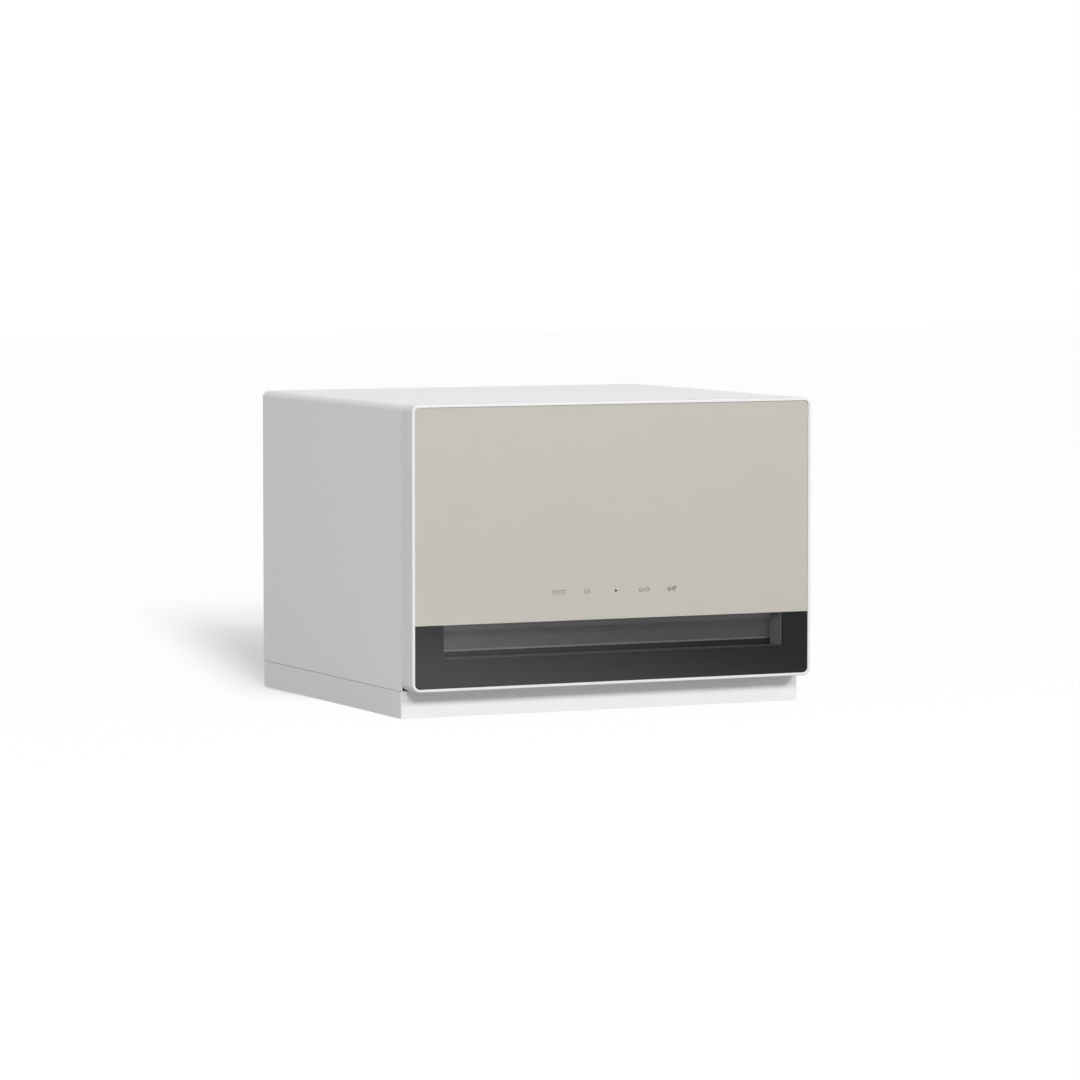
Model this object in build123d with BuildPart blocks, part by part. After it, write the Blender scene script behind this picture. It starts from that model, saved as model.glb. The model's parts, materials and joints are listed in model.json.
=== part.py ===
from build123d import *
import os

os.makedirs("parts", exist_ok=True)

# The appliance stands on the plane z = 0, with x to the right, y to the back and its origin
# under the middle of its box. Sizes are in millimetres.

# Outside
width = 440.0
body_depth = 363.4
body_height = 310.0
base_height = 26.5
front_overhang = 28.6
front_lift = 1.5
foot_stand = 1.5

# Plays
seam = 0.6
slip = 0.2
running = 0.3
front_gap = 0.5
screw_play = 0.1

# Cabinet walls
shell_wall = 1.7
shell_corner = 7.0
base_wall = 2.4
base_corner = 2.0
base_edge = 1.2
rear_wall = 2.0
bezel_wall = 2.5
bezel_recess = 2.5
deck_wall = 1.2
deck_gap = 0.6
bulkhead_wall = 1.2
liner_wall = 0.8
liner_gap = 12.0
liner_flange = 10.0
liner_lift = 1.0
rear_room = 48.0
top_room = 24.0
lug_size = 14.0
lug_wall = 1.5
bulkhead_foot = 5.0
latch_width = 10.0
latch_height = 24.0
latch_wall = 0.8
latch_corner = 1.0
latch_share = 0.12
reed_size = 6.0
reed_length = 16.0
reed_share = 0.33

# Drawer front
front_corner = 9.5
front_edge = 1.0
rim = 2.9
backing_wall = 2.5
glass_thickness = 3.0
glass_recess = 0.3
glass_edge = 0.3
print_thickness = 0.3
smoke_height = 62.3
window_width = 375.0
window_height = 40.0
window_sill = 28.2
window_corner = 2.5
tunnel_wall = 1.8
tunnel_flange_x = 4.0
tunnel_flange_z = 3.0
pane_thickness = 2.0
cover_wall = 2.0
cover_post_radius = 4.0
cover_post_inset = 9.0
cover_row_inset = 16.0
cover_screw_grip = 8.0
magnet_width = 8.0
magnet_height = 18.0
magnet_thickness = 5.0
key_pitch = 31.5
key_height = 90.8
key_count = 5
pad_diameter = 8.0
pad_room = 6.0
lens_x = 94.0
lens_length = 11.0
lens_width = 6.0
lens_depth = 1.2
lens_setback = 15.0
touch_board_width = 168.0
touch_board_height = 34.0
touch_post_inset = 6.0
touch_chip = 12.0
touch_chip_height = 3.0
touch_plug_length = 18.0
touch_plug_width = 6.0
touch_plug_shift = 60.0
board_thickness = 1.6
seal_offset = 6.0
seal_width = 7.0

# Tray and slides
tray_wall = 1.0
tray_room = 19.3
tray_front_height = 18.3
tray_side_height = 12.5
tray_lip_height = 4.0
tray_bend = 2.0
tray_back_gap = 2.0
tray_front_lift = 2.0
tray_screw_inset = 40.0
tray_screw_gap = 1.0
gusset_inset = 25.0
gusset_length = 50.0
gusset_wall = 1.5
gusset_nose = 3.0
slide_width = 12.7
slide_height = 34.4
slide_lift = 3.6
slide_length = 300.0
slide_wall = 1.2
middle_setback = 3.8
middle_reach = 2.2
inner_lip = 6.0
outer_lip = 8.0
ball_diameter = 2.2
ball_play = 0.1
cage_length = 150.0
cage_wall = 0.8
cage_gap = 2.0
ball_pitch = 18.0
travel = 280.0

# Contacts between the cabinet and the shut drawer
pin_block_width = 50.0
pin_block_depth = 14.0
contact_rise = 8.0
contact_count = 4
contact_pitch = 10.0
contact_radius = 1.5
contact_plate_wall = 0.8
contact_plate_height = 8.0

# Screws and feet
screw_diameter = 3.0
screw_head = 5.6
head_height = 1.8
recess_width = 0.9
recess_length = 3.4
screw_tip = 2.0
foot_diameter = 26.0
foot_stem = 8.0
foot_grip = 2.0
foot_inset = 42.0
post_inset = 75.6
post_diameter = 9.0

# Vents and slots
vent_slot = 3.5
base_vent_count = 9
base_vent_pitch = 9.0
base_vent_length = 120.0
vent_inset = 102.0
vent_pitch = 8.0
vent_length = 110.0
vent_z = 250.0
vent_count = 7
vent_low_z = 110.0
vent_low_count = 5
slot_count = 9
slot_pitch = 8.0
slot_height = 26.0
slot_width = 3.5
port_margin = 1.0
exhaust_drop = 27.0

# Lamps in the ceiling of the chamber
lamp_pitch = 130.0
lamp_length = 160.0
lamp_width = 36.0
lamp_open_length = 150.0
lamp_open_width = 26.0
lamp_height = 12.0
lamp_wall = 1.5
lamp_lens_wall = 2.0
lamp_board_play = 1.0
diode_count = 6
diode_pitch = 24.0
diode_size = 3.5
diode_height = 1.2

# Rear compartment
blower_inset = 125.0
blower_z = 190.0
blower_radius = 52.0
blower_depth = 36.0
duct_wall = 2.0
duct_bottom = 204.0
duct_height = 38.0
heater_shift = 55.0
heater_length = 80.0
duct_length = 90.0
fin_count = 14
fin_pitch = 4.0
fin_wall = 0.8
bar_pitch = 16.0
bar_height = 3.0
rotor_radius = 43.0
rotor_width = 25.0
rotor_rise = 4.0
rotor_wall = 1.5
blade_count = 30
blade_chord = 9.0
blade_wall = 1.0
blade_angle = 35.0
blade_inset = 0.5
ring_width = 2.5
motor_radius = 17.0
motor_height = 14.0
shaft_radius = 2.0
shaft_reach = 10.0
hub_gap = 2.0
hub_play = 3.0
sleeve_wall = 2.5
sleeve_length = 6.0
inlet_radius = 32.0
filter_size = 84.0
filter_thickness = 6.0
filter_wall = 2.5
filter_depth = 10.0
filter_grid = 1.0
filter_edge = 4.0
door_thickness = 3.0
door_pin = 1.6
door_pin_reach = 1.5
door_edge = 9.0
door_vent_count = 8
grip_length = 20.0
grip_width = 4.0
grip_depth = 1.0

# Power inlet
inlet_inset = 55.0
inlet_z = 56.0
inlet_width = 27.0
inlet_height = 20.0
inlet_depth = 22.0
inlet_corner = 2.0
inlet_wall = 2.0
inlet_floor = 4.0
inlet_flange = 4.0
inlet_flange_wall = 2.0
blade_pitch = 7.0
blade_shift = 2.0
blade_thickness = 2.0
blade_height = 4.0
blade_setback = 8.0

# Boards in the rear compartment
spacer_height = 6.0
spacer_radius = 3.0
spacer_inset = 5.0
main_inset = 132.0
main_z = 118.0
main_width = 120.0
main_height = 80.0
relay_width = 18.0
relay_height = 14.0
relay_depth = 15.0
processor_size = 14.0
processor_depth = 1.5
small_can_radius = 5.0
small_can_depth = 14.0
terminal_width = 20.0
terminal_height = 6.0
terminal_depth = 8.0
supply_z = 84.0
supply_width = 110.0
supply_height = 70.0
transformer_width = 28.0
transformer_height = 26.0
transformer_depth = 24.0
sink_wall = 3.0
sink_height = 50.0
sink_depth = 22.0
large_can_radius = 9.0
large_can_depth = 26.0

# Levels and faces that follow from these sizes
total_depth = body_depth + front_overhang
half_width = width / 2
front_y = -total_depth / 2
body_y = front_y + front_overhang
rear_y = total_depth / 2
body_middle_y = (body_y + rear_y) / 2
base_z = foot_stand
seam_z = base_z + base_height
top_z = base_z + body_height
shell_inner_x = half_width - shell_wall
shell_inner_z = top_z - shell_wall
deck_z = seam_z + deck_wall

front_z = seam_z + front_lift
front_back_y = body_y - front_gap
cavity_x = half_width - rim
glass_x = cavity_x - slip / 2
glass_bottom = front_z + rim + slip / 2
glass_top = top_z - rim - slip / 2
glass_y = front_y + glass_recess
print_y = glass_y + glass_thickness
backing_y = print_y + print_thickness
glass_corner = front_corner - rim
split_z = glass_bottom + smoke_height
window_bottom = glass_bottom + window_sill
window_middle_z = window_bottom + window_height / 2
key_z = glass_bottom + key_height
frame_middle_z = (front_z + top_z) / 2
frame_height = top_z - front_z
latch_z = frame_middle_z + latch_share * frame_height
reed_z = frame_middle_z + reed_share * frame_height

bezel_y = body_y + bezel_recess
bezel_back_y = bezel_y + bezel_wall
deck_front_y = bezel_back_y + slip
rear_inner_y = rear_y - rear_wall
bulkhead_back_y = rear_inner_y - rear_room
bulkhead_y = bulkhead_back_y - bulkhead_wall
deck_outer_x = shell_inner_x - deck_gap
slide_outer_x = deck_outer_x - deck_wall
slide_inner_x = slide_outer_x - slide_width
tray_x = slide_inner_x - tray_wall
liner_outer_x = tray_x - liner_gap
chamber_x = liner_outer_x - liner_wall
chamber_top = shell_inner_z - top_room - liner_wall
chamber_back = bulkhead_y - liner_wall
tray_floor = deck_z + tray_room + tray_wall
liner_bottom = tray_floor + liner_lift
slide_z = deck_z + slide_lift + slide_height / 2
slide_top = slide_z + slide_height / 2
mouth_z = slide_top + running + seam

tray_lip_x = chamber_x - running * 5
tray_back_y = chamber_back - tray_back_gap
seal_height = bezel_y - front_back_y - running
seal_inner_x = chamber_x + seal_offset
seal_inner_z = chamber_top + seal_offset
latch_x = (seal_inner_x + seal_width + shell_inner_x) / 2
lamp_middle_y = (bezel_back_y + chamber_back) / 2
lamp_rows = (lamp_middle_y - lamp_pitch / 2, lamp_middle_y + lamp_pitch / 2)

blower_x = blower_inset - half_width
heater_left = blower_x + heater_shift
duct_top = duct_bottom + duct_height
duct_left = heater_left + heater_length
duct_right = duct_left + duct_length
duct_back_y = bulkhead_back_y + blower_depth
door_pivot_y = rear_y - door_thickness / 2
door_bottom = blower_z - filter_size / 2
door_pivot_z = door_bottom + running + door_thickness / 2


# An upright plane at a depth. Sketches on it use x and z, and negative amounts run backwards.
def upright(depth):
    return Plane.XZ.offset(-depth)


# A box between two corners, in the part that is being built
def block(x0, x1, y0, y1, z0, z1, mode=Mode.ADD):
    with Locations(((x0 + x1) / 2, (y0 + y1) / 2, (z0 + z1) / 2)):
        Box(x1 - x0, y1 - y0, z1 - z0, mode=mode)


# Holes through whatever stands between two depths
def cross_holes(spots, radius, y0, y1):
    with BuildSketch(upright(y0)) as holes:
        with Locations(*spots):
            Circle(radius)
    extrude(holes.sketch, amount=y0 - y1, mode=Mode.SUBTRACT)


# Screws with a head in front of a plane, a shank behind it and a cross cut into the head
def screws(plane, spots, head, shank):
    with BuildSketch(plane) as heads:
        with Locations(*spots):
            Circle(screw_head / 2)
    extrude(heads.sketch, amount=head)
    with BuildSketch(plane) as shanks:
        with Locations(*spots):
            Circle(screw_diameter / 2)
    extrude(shanks.sketch, amount=-shank)
    with BuildSketch(plane.offset(head)) as crosses:
        with Locations(*spots):
            Rectangle(recess_length, recess_width)
            Rectangle(recess_width, recess_length)
    extrude(crosses.sketch, amount=-head / 2, mode=Mode.SUBTRACT)


hole_radius = screw_diameter / 2 + screw_play
side_signs = {"left": -1, "right": 1}

# Base pan with its posts
base_top = seam_z - seam
floor_top = base_z + base_wall
foot_spots = [
    (x, y)
    for x in (foot_inset - half_width, half_width - foot_inset)
    for y in (body_y + foot_inset, rear_y - foot_inset)
]
post_spots = [
    (x, y)
    for x in (post_inset - half_width, half_width - post_inset)
    for y in (body_y + foot_inset, rear_y - foot_inset)
]
with BuildPart() as base_pan:
    with BuildSketch(Plane.XY.offset(base_z)):
        with Locations((0, body_middle_y)):
            RectangleRounded(width, body_depth, base_corner)
    extrude(amount=base_top - base_z)
    fillet(base_pan.edges().group_by(Axis.Z)[0], base_edge)
    with BuildSketch(Plane.XY.offset(floor_top)):
        with Locations((0, body_middle_y)):
            Rectangle(width - 2 * base_wall, body_depth - 2 * base_wall)
    extrude(amount=base_top - floor_top, mode=Mode.SUBTRACT)
    with BuildSketch(Plane.XY.offset(floor_top)):
        with Locations(*post_spots):
            Circle(post_diameter / 2)
    extrude(amount=seam_z - floor_top)
    for sign in (-1, 1):
        tongue_x = sign * (shell_inner_x - slip - base_wall / 2)
        with BuildSketch(Plane.XY.offset(floor_top)):
            with Locations((tongue_x, body_middle_y)):
                Rectangle(base_wall, body_depth - 8 * base_wall)
        extrude(amount=seam_z - floor_top)
    with BuildSketch(Plane.XY.offset(base_z)):
        with Locations(*post_spots):
            Circle(hole_radius)
        with Locations(*foot_spots):
            Circle(foot_stem / 2 + screw_play)
    extrude(amount=base_height, mode=Mode.SUBTRACT)
    with BuildSketch(Plane.XY.offset(base_z)):
        with Locations(*post_spots):
            Circle(screw_head / 2 + slip)
    extrude(amount=head_height + slip, mode=Mode.SUBTRACT)
    with BuildSketch(Plane.XY.offset(base_z)):
        with Locations((0, body_middle_y)):
            with GridLocations(0, base_vent_pitch, 1, base_vent_count):
                SlotOverall(base_vent_length, vent_slot)
    extrude(amount=base_wall, mode=Mode.SUBTRACT)
base_pan.part.label = "base_pan"
export_step(base_pan.part, "parts/base_pan.step")

# Rubber feet, each with a stem through the floor of the base pan
with BuildPart() as feet:
    with BuildSketch(Plane.XY):
        with Locations(*foot_spots):
            Circle(foot_diameter / 2)
    extrude(amount=foot_stand)
    with BuildSketch(Plane.XY.offset(foot_stand)):
        with Locations(*foot_spots):
            Circle(foot_stem / 2)
    extrude(amount=base_wall + foot_grip)
feet.part.label = "feet"
export_step(feet.part, "parts/feet.step")

# Base screws, driven from below through the posts into the deck
under_plane = Plane(origin=(0, 0, base_z + head_height), x_dir=(1, 0, 0), z_dir=(0, 0, -1))
with BuildPart() as base_screws:
    screws(
        under_plane,
        [(x, -y) for x, y in post_spots],
        head_height,
        base_height + deck_wall - head_height,
    )
base_screws.part.label = "base_screws"
export_step(base_screws.part, "parts/base_screws.step")

# Outer shell, a sheet bent over the left side, the top and the right side
lug_heights = [seam_z + lug_size, (seam_z + top_z) / 2, shell_inner_z - lug_size]
lug_x = shell_inner_x - lug_size / 2
lug_spots = [(sign * lug_x, z) for sign in (-1, 1) for z in lug_heights]
with BuildPart() as outer_shell:
    with BuildSketch(upright(body_y)) as shell_profile:
        with Locations((0, (seam_z + top_z) / 2)):
            Rectangle(width, top_z - seam_z)
        fillet(shell_profile.vertices().group_by(Axis.Y)[-1], shell_corner)
        with BuildSketch(mode=Mode.PRIVATE) as shell_hollow:
            with Locations((0, (seam_z + shell_inner_z) / 2)):
                Rectangle(2 * shell_inner_x, shell_inner_z - seam_z)
            fillet(shell_hollow.vertices().group_by(Axis.Y)[-1], shell_corner - shell_wall)
        add(shell_hollow.sketch, mode=Mode.SUBTRACT)
    extrude(amount=-body_depth)
    with BuildSketch(upright(rear_inner_y - lug_wall)):
        with Locations(*lug_spots):
            Rectangle(lug_size, lug_size)
    extrude(amount=-lug_wall)
    cross_holes(lug_spots, hole_radius, rear_inner_y - lug_wall, rear_inner_y)
outer_shell.part.label = "outer_shell"
export_step(outer_shell.part, "parts/outer_shell.step")

# Rear panel with filter box, vents and inlet opening
panel_bottom = seam_z + seam
panel_x = shell_inner_x - slip
panel_top = shell_inner_z - slip
inlet_x = half_width - inlet_inset
vent_x = half_width - vent_inset
door_x = filter_size / 2 - running
box_y = rear_y - filter_depth
pin_radius = door_pin / 2
with BuildPart() as rear_panel:
    with BuildSketch(upright(rear_inner_y)) as panel_outline:
        with Locations((0, (panel_bottom + panel_top) / 2)):
            Rectangle(2 * panel_x, panel_top - panel_bottom)
        fillet(panel_outline.vertices().group_by(Axis.Y)[-1], shell_corner - shell_wall)
    extrude(amount=-rear_wall)
    with BuildSketch(upright(box_y)):
        with Locations((blower_x, blower_z)):
            Rectangle(filter_size + 2 * filter_wall, filter_size + 2 * filter_wall)
    extrude(amount=-filter_depth)
    with BuildSketch(upright(box_y + filter_grid)):
        with Locations((blower_x, blower_z)):
            Rectangle(filter_size, filter_size)
    extrude(amount=-filter_depth, mode=Mode.SUBTRACT)
    with BuildSketch(upright(box_y)):
        with Locations((blower_x, blower_z)):
            Rectangle(filter_size - 2 * filter_edge, filter_size - 2 * filter_edge)
    extrude(amount=-filter_grid, mode=Mode.SUBTRACT)
    with Locations(Location((blower_x, door_pivot_y, door_pivot_z), (0, 90, 0))):
        Cylinder(pin_radius + screw_play, filter_size + 2 * door_pin_reach, mode=Mode.SUBTRACT)
    with BuildSketch(upright(rear_inner_y)):
        with Locations((vent_x, vent_z)):
            with GridLocations(0, vent_pitch, 1, vent_count):
                SlotOverall(vent_length, vent_slot)
        with Locations((vent_x, vent_low_z)):
            with GridLocations(0, vent_pitch, 1, vent_low_count):
                SlotOverall(vent_length, vent_slot)
        with Locations((inlet_x, inlet_z)):
            RectangleRounded(inlet_width + 2 * slip, inlet_height + 2 * slip, inlet_corner)
    extrude(amount=-rear_wall, mode=Mode.SUBTRACT)
    cross_holes(lug_spots, hole_radius, rear_inner_y, rear_y)
    cross_holes(lug_spots, screw_head / 2 + slip, rear_y - head_height / 2, rear_y)
rear_panel.part.label = "rear_panel"
export_step(rear_panel.part, "parts/rear_panel.step")

# Rear screws, with heads sunk level with the rear face
rear_plane = Plane(origin=(0, rear_y - head_height / 2, 0), x_dir=(-1, 0, 0), z_dir=(0, 1, 0))
with BuildPart() as rear_screws:
    screws(rear_plane, lug_spots, head_height / 2, rear_wall + lug_wall + screw_tip)
rear_screws.part.label = "rear_screws"
export_step(rear_screws.part, "parts/rear_screws.step")

# Filter cover, hinged on two pins along its lower edge
with BuildPart() as filter_cover:
    cover_top = blower_z + filter_size / 2 - running
    block(
        blower_x - door_x,
        blower_x + door_x,
        rear_y - door_thickness,
        rear_y,
        door_pivot_z,
        cover_top,
    )
    with Locations(Location((blower_x, door_pivot_y, door_pivot_z), (0, 90, 0))):
        Cylinder(door_thickness / 2, 2 * door_x)
        Cylinder(pin_radius, 2 * (door_x + door_pin_reach))
    with BuildSketch(upright(rear_y - door_thickness)):
        with Locations((blower_x, blower_z)):
            with GridLocations(0, vent_pitch, 1, door_vent_count):
                SlotOverall(filter_size - 2 * door_edge, vent_slot)
    extrude(amount=-door_thickness, mode=Mode.SUBTRACT)
    with BuildSketch(upright(rear_y - grip_depth)):
        with Locations((blower_x, cover_top - grip_width / 2)):
            SlotOverall(grip_length, grip_width)
    extrude(amount=-grip_depth, mode=Mode.SUBTRACT)
filter_cover.part.label = "filter_cover"
export_step(filter_cover.part, "parts/filter_cover.step")

# Intake filter in its box
with BuildPart() as intake_filter:
    block(
        blower_x - filter_size / 2 + slip,
        blower_x + filter_size / 2 - slip,
        box_y + filter_grid,
        box_y + filter_grid + filter_thickness - 2 * slip,
        blower_z - filter_size / 2 + slip,
        blower_z + filter_size / 2 - slip,
    )
intake_filter.part.label = "intake_filter"
export_step(intake_filter.part, "parts/intake_filter.step")

# Power inlet, held from inside, with three blades
blade_spots = [
    (inlet_x - blade_pitch, inlet_z - blade_shift),
    (inlet_x + blade_pitch, inlet_z - blade_shift),
    (inlet_x, inlet_z + blade_shift),
]
with BuildPart() as power_inlet:
    with BuildSketch(upright(rear_y - inlet_depth)):
        with Locations((inlet_x, inlet_z)):
            RectangleRounded(inlet_width, inlet_height, inlet_corner)
    extrude(amount=-inlet_depth)
    with BuildSketch(upright(rear_inner_y - inlet_flange_wall)):
        with Locations((inlet_x, inlet_z)):
            Rectangle(inlet_width + 2 * inlet_flange, inlet_height + inlet_flange)
    extrude(amount=-inlet_flange_wall)
    with BuildSketch(upright(rear_y - inlet_depth + inlet_floor)):
        with Locations((inlet_x, inlet_z)):
            RectangleRounded(inlet_width - 2 * inlet_wall, inlet_height - 2 * inlet_wall, inlet_corner)
    extrude(amount=-inlet_depth, mode=Mode.SUBTRACT)
    with BuildSketch(upright(rear_y - inlet_depth + inlet_floor)):
        with Locations(*blade_spots):
            Rectangle(blade_thickness, blade_height)
    extrude(amount=blade_setback + inlet_floor - inlet_depth)
power_inlet.part.label = "power_inlet"
export_step(power_inlet.part, "parts/power_inlet.step")

# Chassis deck, a folded sheet whose side flanges carry the slides
flange_top = slide_top + running
deck_back_y = rear_inner_y - lug_wall - slip
with BuildPart() as chassis_deck:
    block(-deck_outer_x, deck_outer_x, deck_front_y, deck_back_y, seam_z, deck_z)
    for sign in (-1, 1):
        edge = sorted((sign * slide_outer_x, sign * deck_outer_x))
        block(edge[0], edge[1], deck_front_y, deck_front_y + slide_length, seam_z, flange_top)
    with BuildSketch(Plane.XY.offset(seam_z)):
        with Locations(*post_spots):
            Circle(hole_radius)
    extrude(amount=deck_wall, mode=Mode.SUBTRACT)
chassis_deck.part.label = "chassis_deck"
export_step(chassis_deck.part, "parts/chassis_deck.step")

# Front bezel, the dark ring between the shell and the chamber
with BuildPart() as front_bezel:
    with BuildSketch(upright(bezel_y)) as bezel_outline:
        with Locations((0, (panel_bottom + panel_top) / 2)):
            Rectangle(2 * panel_x, panel_top - panel_bottom)
        fillet(bezel_outline.vertices().group_by(Axis.Y)[-1], shell_corner - shell_wall)
        with Locations((0, (panel_bottom + chamber_top) / 2)):
            Rectangle(2 * chamber_x, chamber_top - panel_bottom, mode=Mode.SUBTRACT)
        with Locations((0, (panel_bottom + mouth_z) / 2)):
            Rectangle(2 * slide_outer_x, mouth_z - panel_bottom, mode=Mode.SUBTRACT)
    extrude(amount=-bezel_wall)
front_bezel.part.label = "front_bezel"
export_step(front_bezel.part, "parts/front_bezel.step")

# Latch plates on the bezel, one at each side
with BuildPart() as latch_plates:
    with BuildSketch(upright(bezel_y - latch_wall)):
        with Locations((-latch_x, latch_z), (latch_x, latch_z)):
            RectangleRounded(latch_width, latch_height, latch_corner)
    extrude(amount=-latch_wall)
latch_plates.part.label = "latch_plates"
export_step(latch_plates.part, "parts/latch_plates.step")

# Reed switch behind the bezel
with BuildPart() as reed_switch:
    block(
        latch_x - reed_size / 2,
        latch_x + reed_size / 2,
        bezel_back_y,
        bezel_back_y + reed_size,
        reed_z - reed_length / 2,
        reed_z + reed_length / 2,
    )
reed_switch.part.label = "reed_switch"
export_step(reed_switch.part, "parts/reed_switch.step")

# Chamber liner, open at the front and below, with lamp openings and air slots
slots_x = (duct_left + duct_right) / 2
slots_z = (duct_bottom + duct_top) / 2
exhaust_z = chamber_top - exhaust_drop
with BuildPart() as chamber_liner:
    block(-liner_outer_x, liner_outer_x, bezel_back_y, bulkhead_y, liner_bottom, chamber_top + liner_wall)
    block(
        -liner_outer_x - liner_flange,
        liner_outer_x + liner_flange,
        bezel_back_y,
        bezel_back_y + liner_wall,
        mouth_z,
        chamber_top + liner_wall + liner_flange,
    )
    block(
        -chamber_x,
        chamber_x,
        bezel_back_y,
        chamber_back,
        liner_bottom,
        chamber_top,
        mode=Mode.SUBTRACT,
    )
    with BuildSketch(Plane.XY.offset(chamber_top)):
        with Locations(*[(0, y) for y in lamp_rows]):
            Rectangle(lamp_open_length, lamp_open_width)
    extrude(amount=liner_wall, mode=Mode.SUBTRACT)
    with BuildSketch(upright(chamber_back)):
        with Locations((slots_x, slots_z), (blower_x, exhaust_z)):
            with GridLocations(slot_pitch, 0, slot_count, 1):
                SlotOverall(slot_height, slot_width, rotation=90)
    extrude(amount=-liner_wall, mode=Mode.SUBTRACT)
chamber_liner.part.label = "chamber_liner"
export_step(chamber_liner.part, "parts/chamber_liner.step")

# Bulkhead behind the chamber, standing on the deck
port_width = slot_count * slot_pitch
port_height = slot_height + 2 * port_margin
with BuildPart() as bulkhead:
    block(
        -deck_outer_x,
        deck_outer_x,
        bulkhead_y,
        bulkhead_back_y,
        deck_z,
        panel_top - shell_corner,
    )
    block(
        -deck_outer_x,
        deck_outer_x,
        bulkhead_back_y,
        bulkhead_back_y + bulkhead_foot,
        deck_z,
        deck_z + bulkhead_wall,
    )
    with BuildSketch(upright(bulkhead_y)):
        with Locations((slots_x, slots_z), (blower_x, exhaust_z)):
            Rectangle(port_width, port_height)
    extrude(amount=-bulkhead_wall, mode=Mode.SUBTRACT)
bulkhead.part.label = "bulkhead"
export_step(bulkhead.part, "parts/bulkhead.step")

# Lamp housings over the openings in the ceiling
ceiling_z = chamber_top + liner_wall
with BuildPart() as lamp_housings:
    with BuildSketch(Plane.XY.offset(ceiling_z)):
        with Locations(*[(0, y) for y in lamp_rows]):
            Rectangle(lamp_length, lamp_width)
    extrude(amount=lamp_height)
    with BuildSketch(Plane.XY.offset(ceiling_z)):
        with Locations(*[(0, y) for y in lamp_rows]):
            Rectangle(lamp_open_length, lamp_open_width)
    extrude(amount=lamp_height - lamp_wall, mode=Mode.SUBTRACT)
lamp_housings.part.label = "lamp_housings"
export_step(lamp_housings.part, "parts/lamp_housings.step")

# Lamp boards, each with a row of diodes on its lower face
board_z = ceiling_z + lamp_height - lamp_wall - board_thickness
with BuildPart() as lamp_boards:
    with BuildSketch(Plane.XY.offset(board_z)):
        with Locations(*[(0, y) for y in lamp_rows]):
            Rectangle(lamp_open_length - 2 * lamp_board_play, lamp_open_width - 2 * lamp_board_play)
    extrude(amount=board_thickness)
    with BuildSketch(Plane.XY.offset(board_z)):
        with Locations(*[(0, y) for y in lamp_rows]):
            with GridLocations(diode_pitch, 0, diode_count, 1):
                Rectangle(diode_size, diode_size)
    extrude(amount=-diode_height)
lamp_boards.part.label = "lamp_boards"
export_step(lamp_boards.part, "parts/lamp_boards.step")

# Lamp lenses, level with the ceiling
with BuildPart() as lamp_lenses:
    with BuildSketch(Plane.XY.offset(chamber_top)):
        with Locations(*[(0, y) for y in lamp_rows]):
            Rectangle(lamp_open_length - 2 * slip, lamp_open_width - 2 * slip)
    extrude(amount=lamp_lens_wall)
lamp_lenses.part.label = "lamp_lenses"
export_step(lamp_lenses.part, "parts/lamp_lenses.step")

# Blower housing, a round chamber with its outlet to the right
with BuildPart() as blower_housing:
    with BuildSketch(upright(bulkhead_back_y)):
        with Locations((blower_x, blower_z)):
            Circle(blower_radius)
        with Locations(((blower_x + heater_left) / 2, slots_z)):
            Rectangle(heater_left - blower_x, duct_height)
    extrude(amount=-blower_depth)
    with BuildSketch(upright(bulkhead_back_y + duct_wall)):
        with Locations((blower_x, blower_z)):
            Circle(blower_radius - duct_wall)
        with Locations(((blower_x + heater_left) / 2, slots_z)):
            Rectangle(heater_left - blower_x, duct_height - 2 * duct_wall)
    extrude(amount=2 * duct_wall - blower_depth, mode=Mode.SUBTRACT)
    cross_holes([(blower_x, blower_z)], inlet_radius, duct_back_y - duct_wall, duct_back_y)
blower_housing.part.label = "blower_housing"
export_step(blower_housing.part, "parts/blower_housing.step")

# Blower motor with its shaft
motor_y = bulkhead_back_y + duct_wall
rotor_y = motor_y + rotor_rise / 2
hub_y = motor_y + motor_height + hub_gap
shaft_length = motor_height + shaft_reach
with BuildPart() as blower_motor:
    with BuildSketch(upright(motor_y)):
        with Locations((blower_x, blower_z)):
            Circle(motor_radius)
    extrude(amount=-motor_height)
    with BuildSketch(upright(motor_y)):
        with Locations((blower_x, blower_z)):
            Circle(shaft_radius)
    extrude(amount=-shaft_length)
blower_motor.part.label = "blower_motor"
export_step(blower_motor.part, "parts/blower_motor.step")

# Blower impeller, a cup over the motor with blades round it
hub_radius = motor_radius + hub_play
with BuildPart() as blower_impeller:
    with BuildSketch(upright(rotor_y)):
        with Locations((blower_x, blower_z)):
            Circle(rotor_radius)
            Circle(hub_radius, mode=Mode.SUBTRACT)
    extrude(amount=-rotor_wall)
    with BuildSketch(upright(rotor_y)):
        with Locations((blower_x, blower_z)):
            Circle(hub_radius + rotor_wall)
            Circle(hub_radius, mode=Mode.SUBTRACT)
    extrude(amount=rotor_y - hub_y - rotor_wall)
    with BuildSketch(upright(hub_y)):
        with Locations((blower_x, blower_z)):
            Circle(hub_radius + rotor_wall)
            Circle(shaft_radius + screw_play, mode=Mode.SUBTRACT)
    extrude(amount=-rotor_wall)
    with BuildSketch(upright(hub_y)):
        with Locations((blower_x, blower_z)):
            Circle(shaft_radius + sleeve_wall)
            Circle(shaft_radius + screw_play, mode=Mode.SUBTRACT)
    extrude(amount=-sleeve_length)
    with BuildSketch(upright(rotor_y + rotor_wall)):
        with Locations((blower_x, blower_z)):
            with PolarLocations(rotor_radius - blade_chord / 2 - blade_inset, blade_count):
                Rectangle(blade_chord, blade_wall, rotation=blade_angle)
    extrude(amount=-rotor_width)
    with BuildSketch(upright(rotor_y + rotor_wall + rotor_width)):
        with Locations((blower_x, blower_z)):
            Circle(rotor_radius)
            Circle(rotor_radius - ring_width, mode=Mode.SUBTRACT)
    extrude(amount=-rotor_wall)
blower_impeller.part.label = "blower_impeller"
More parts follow.
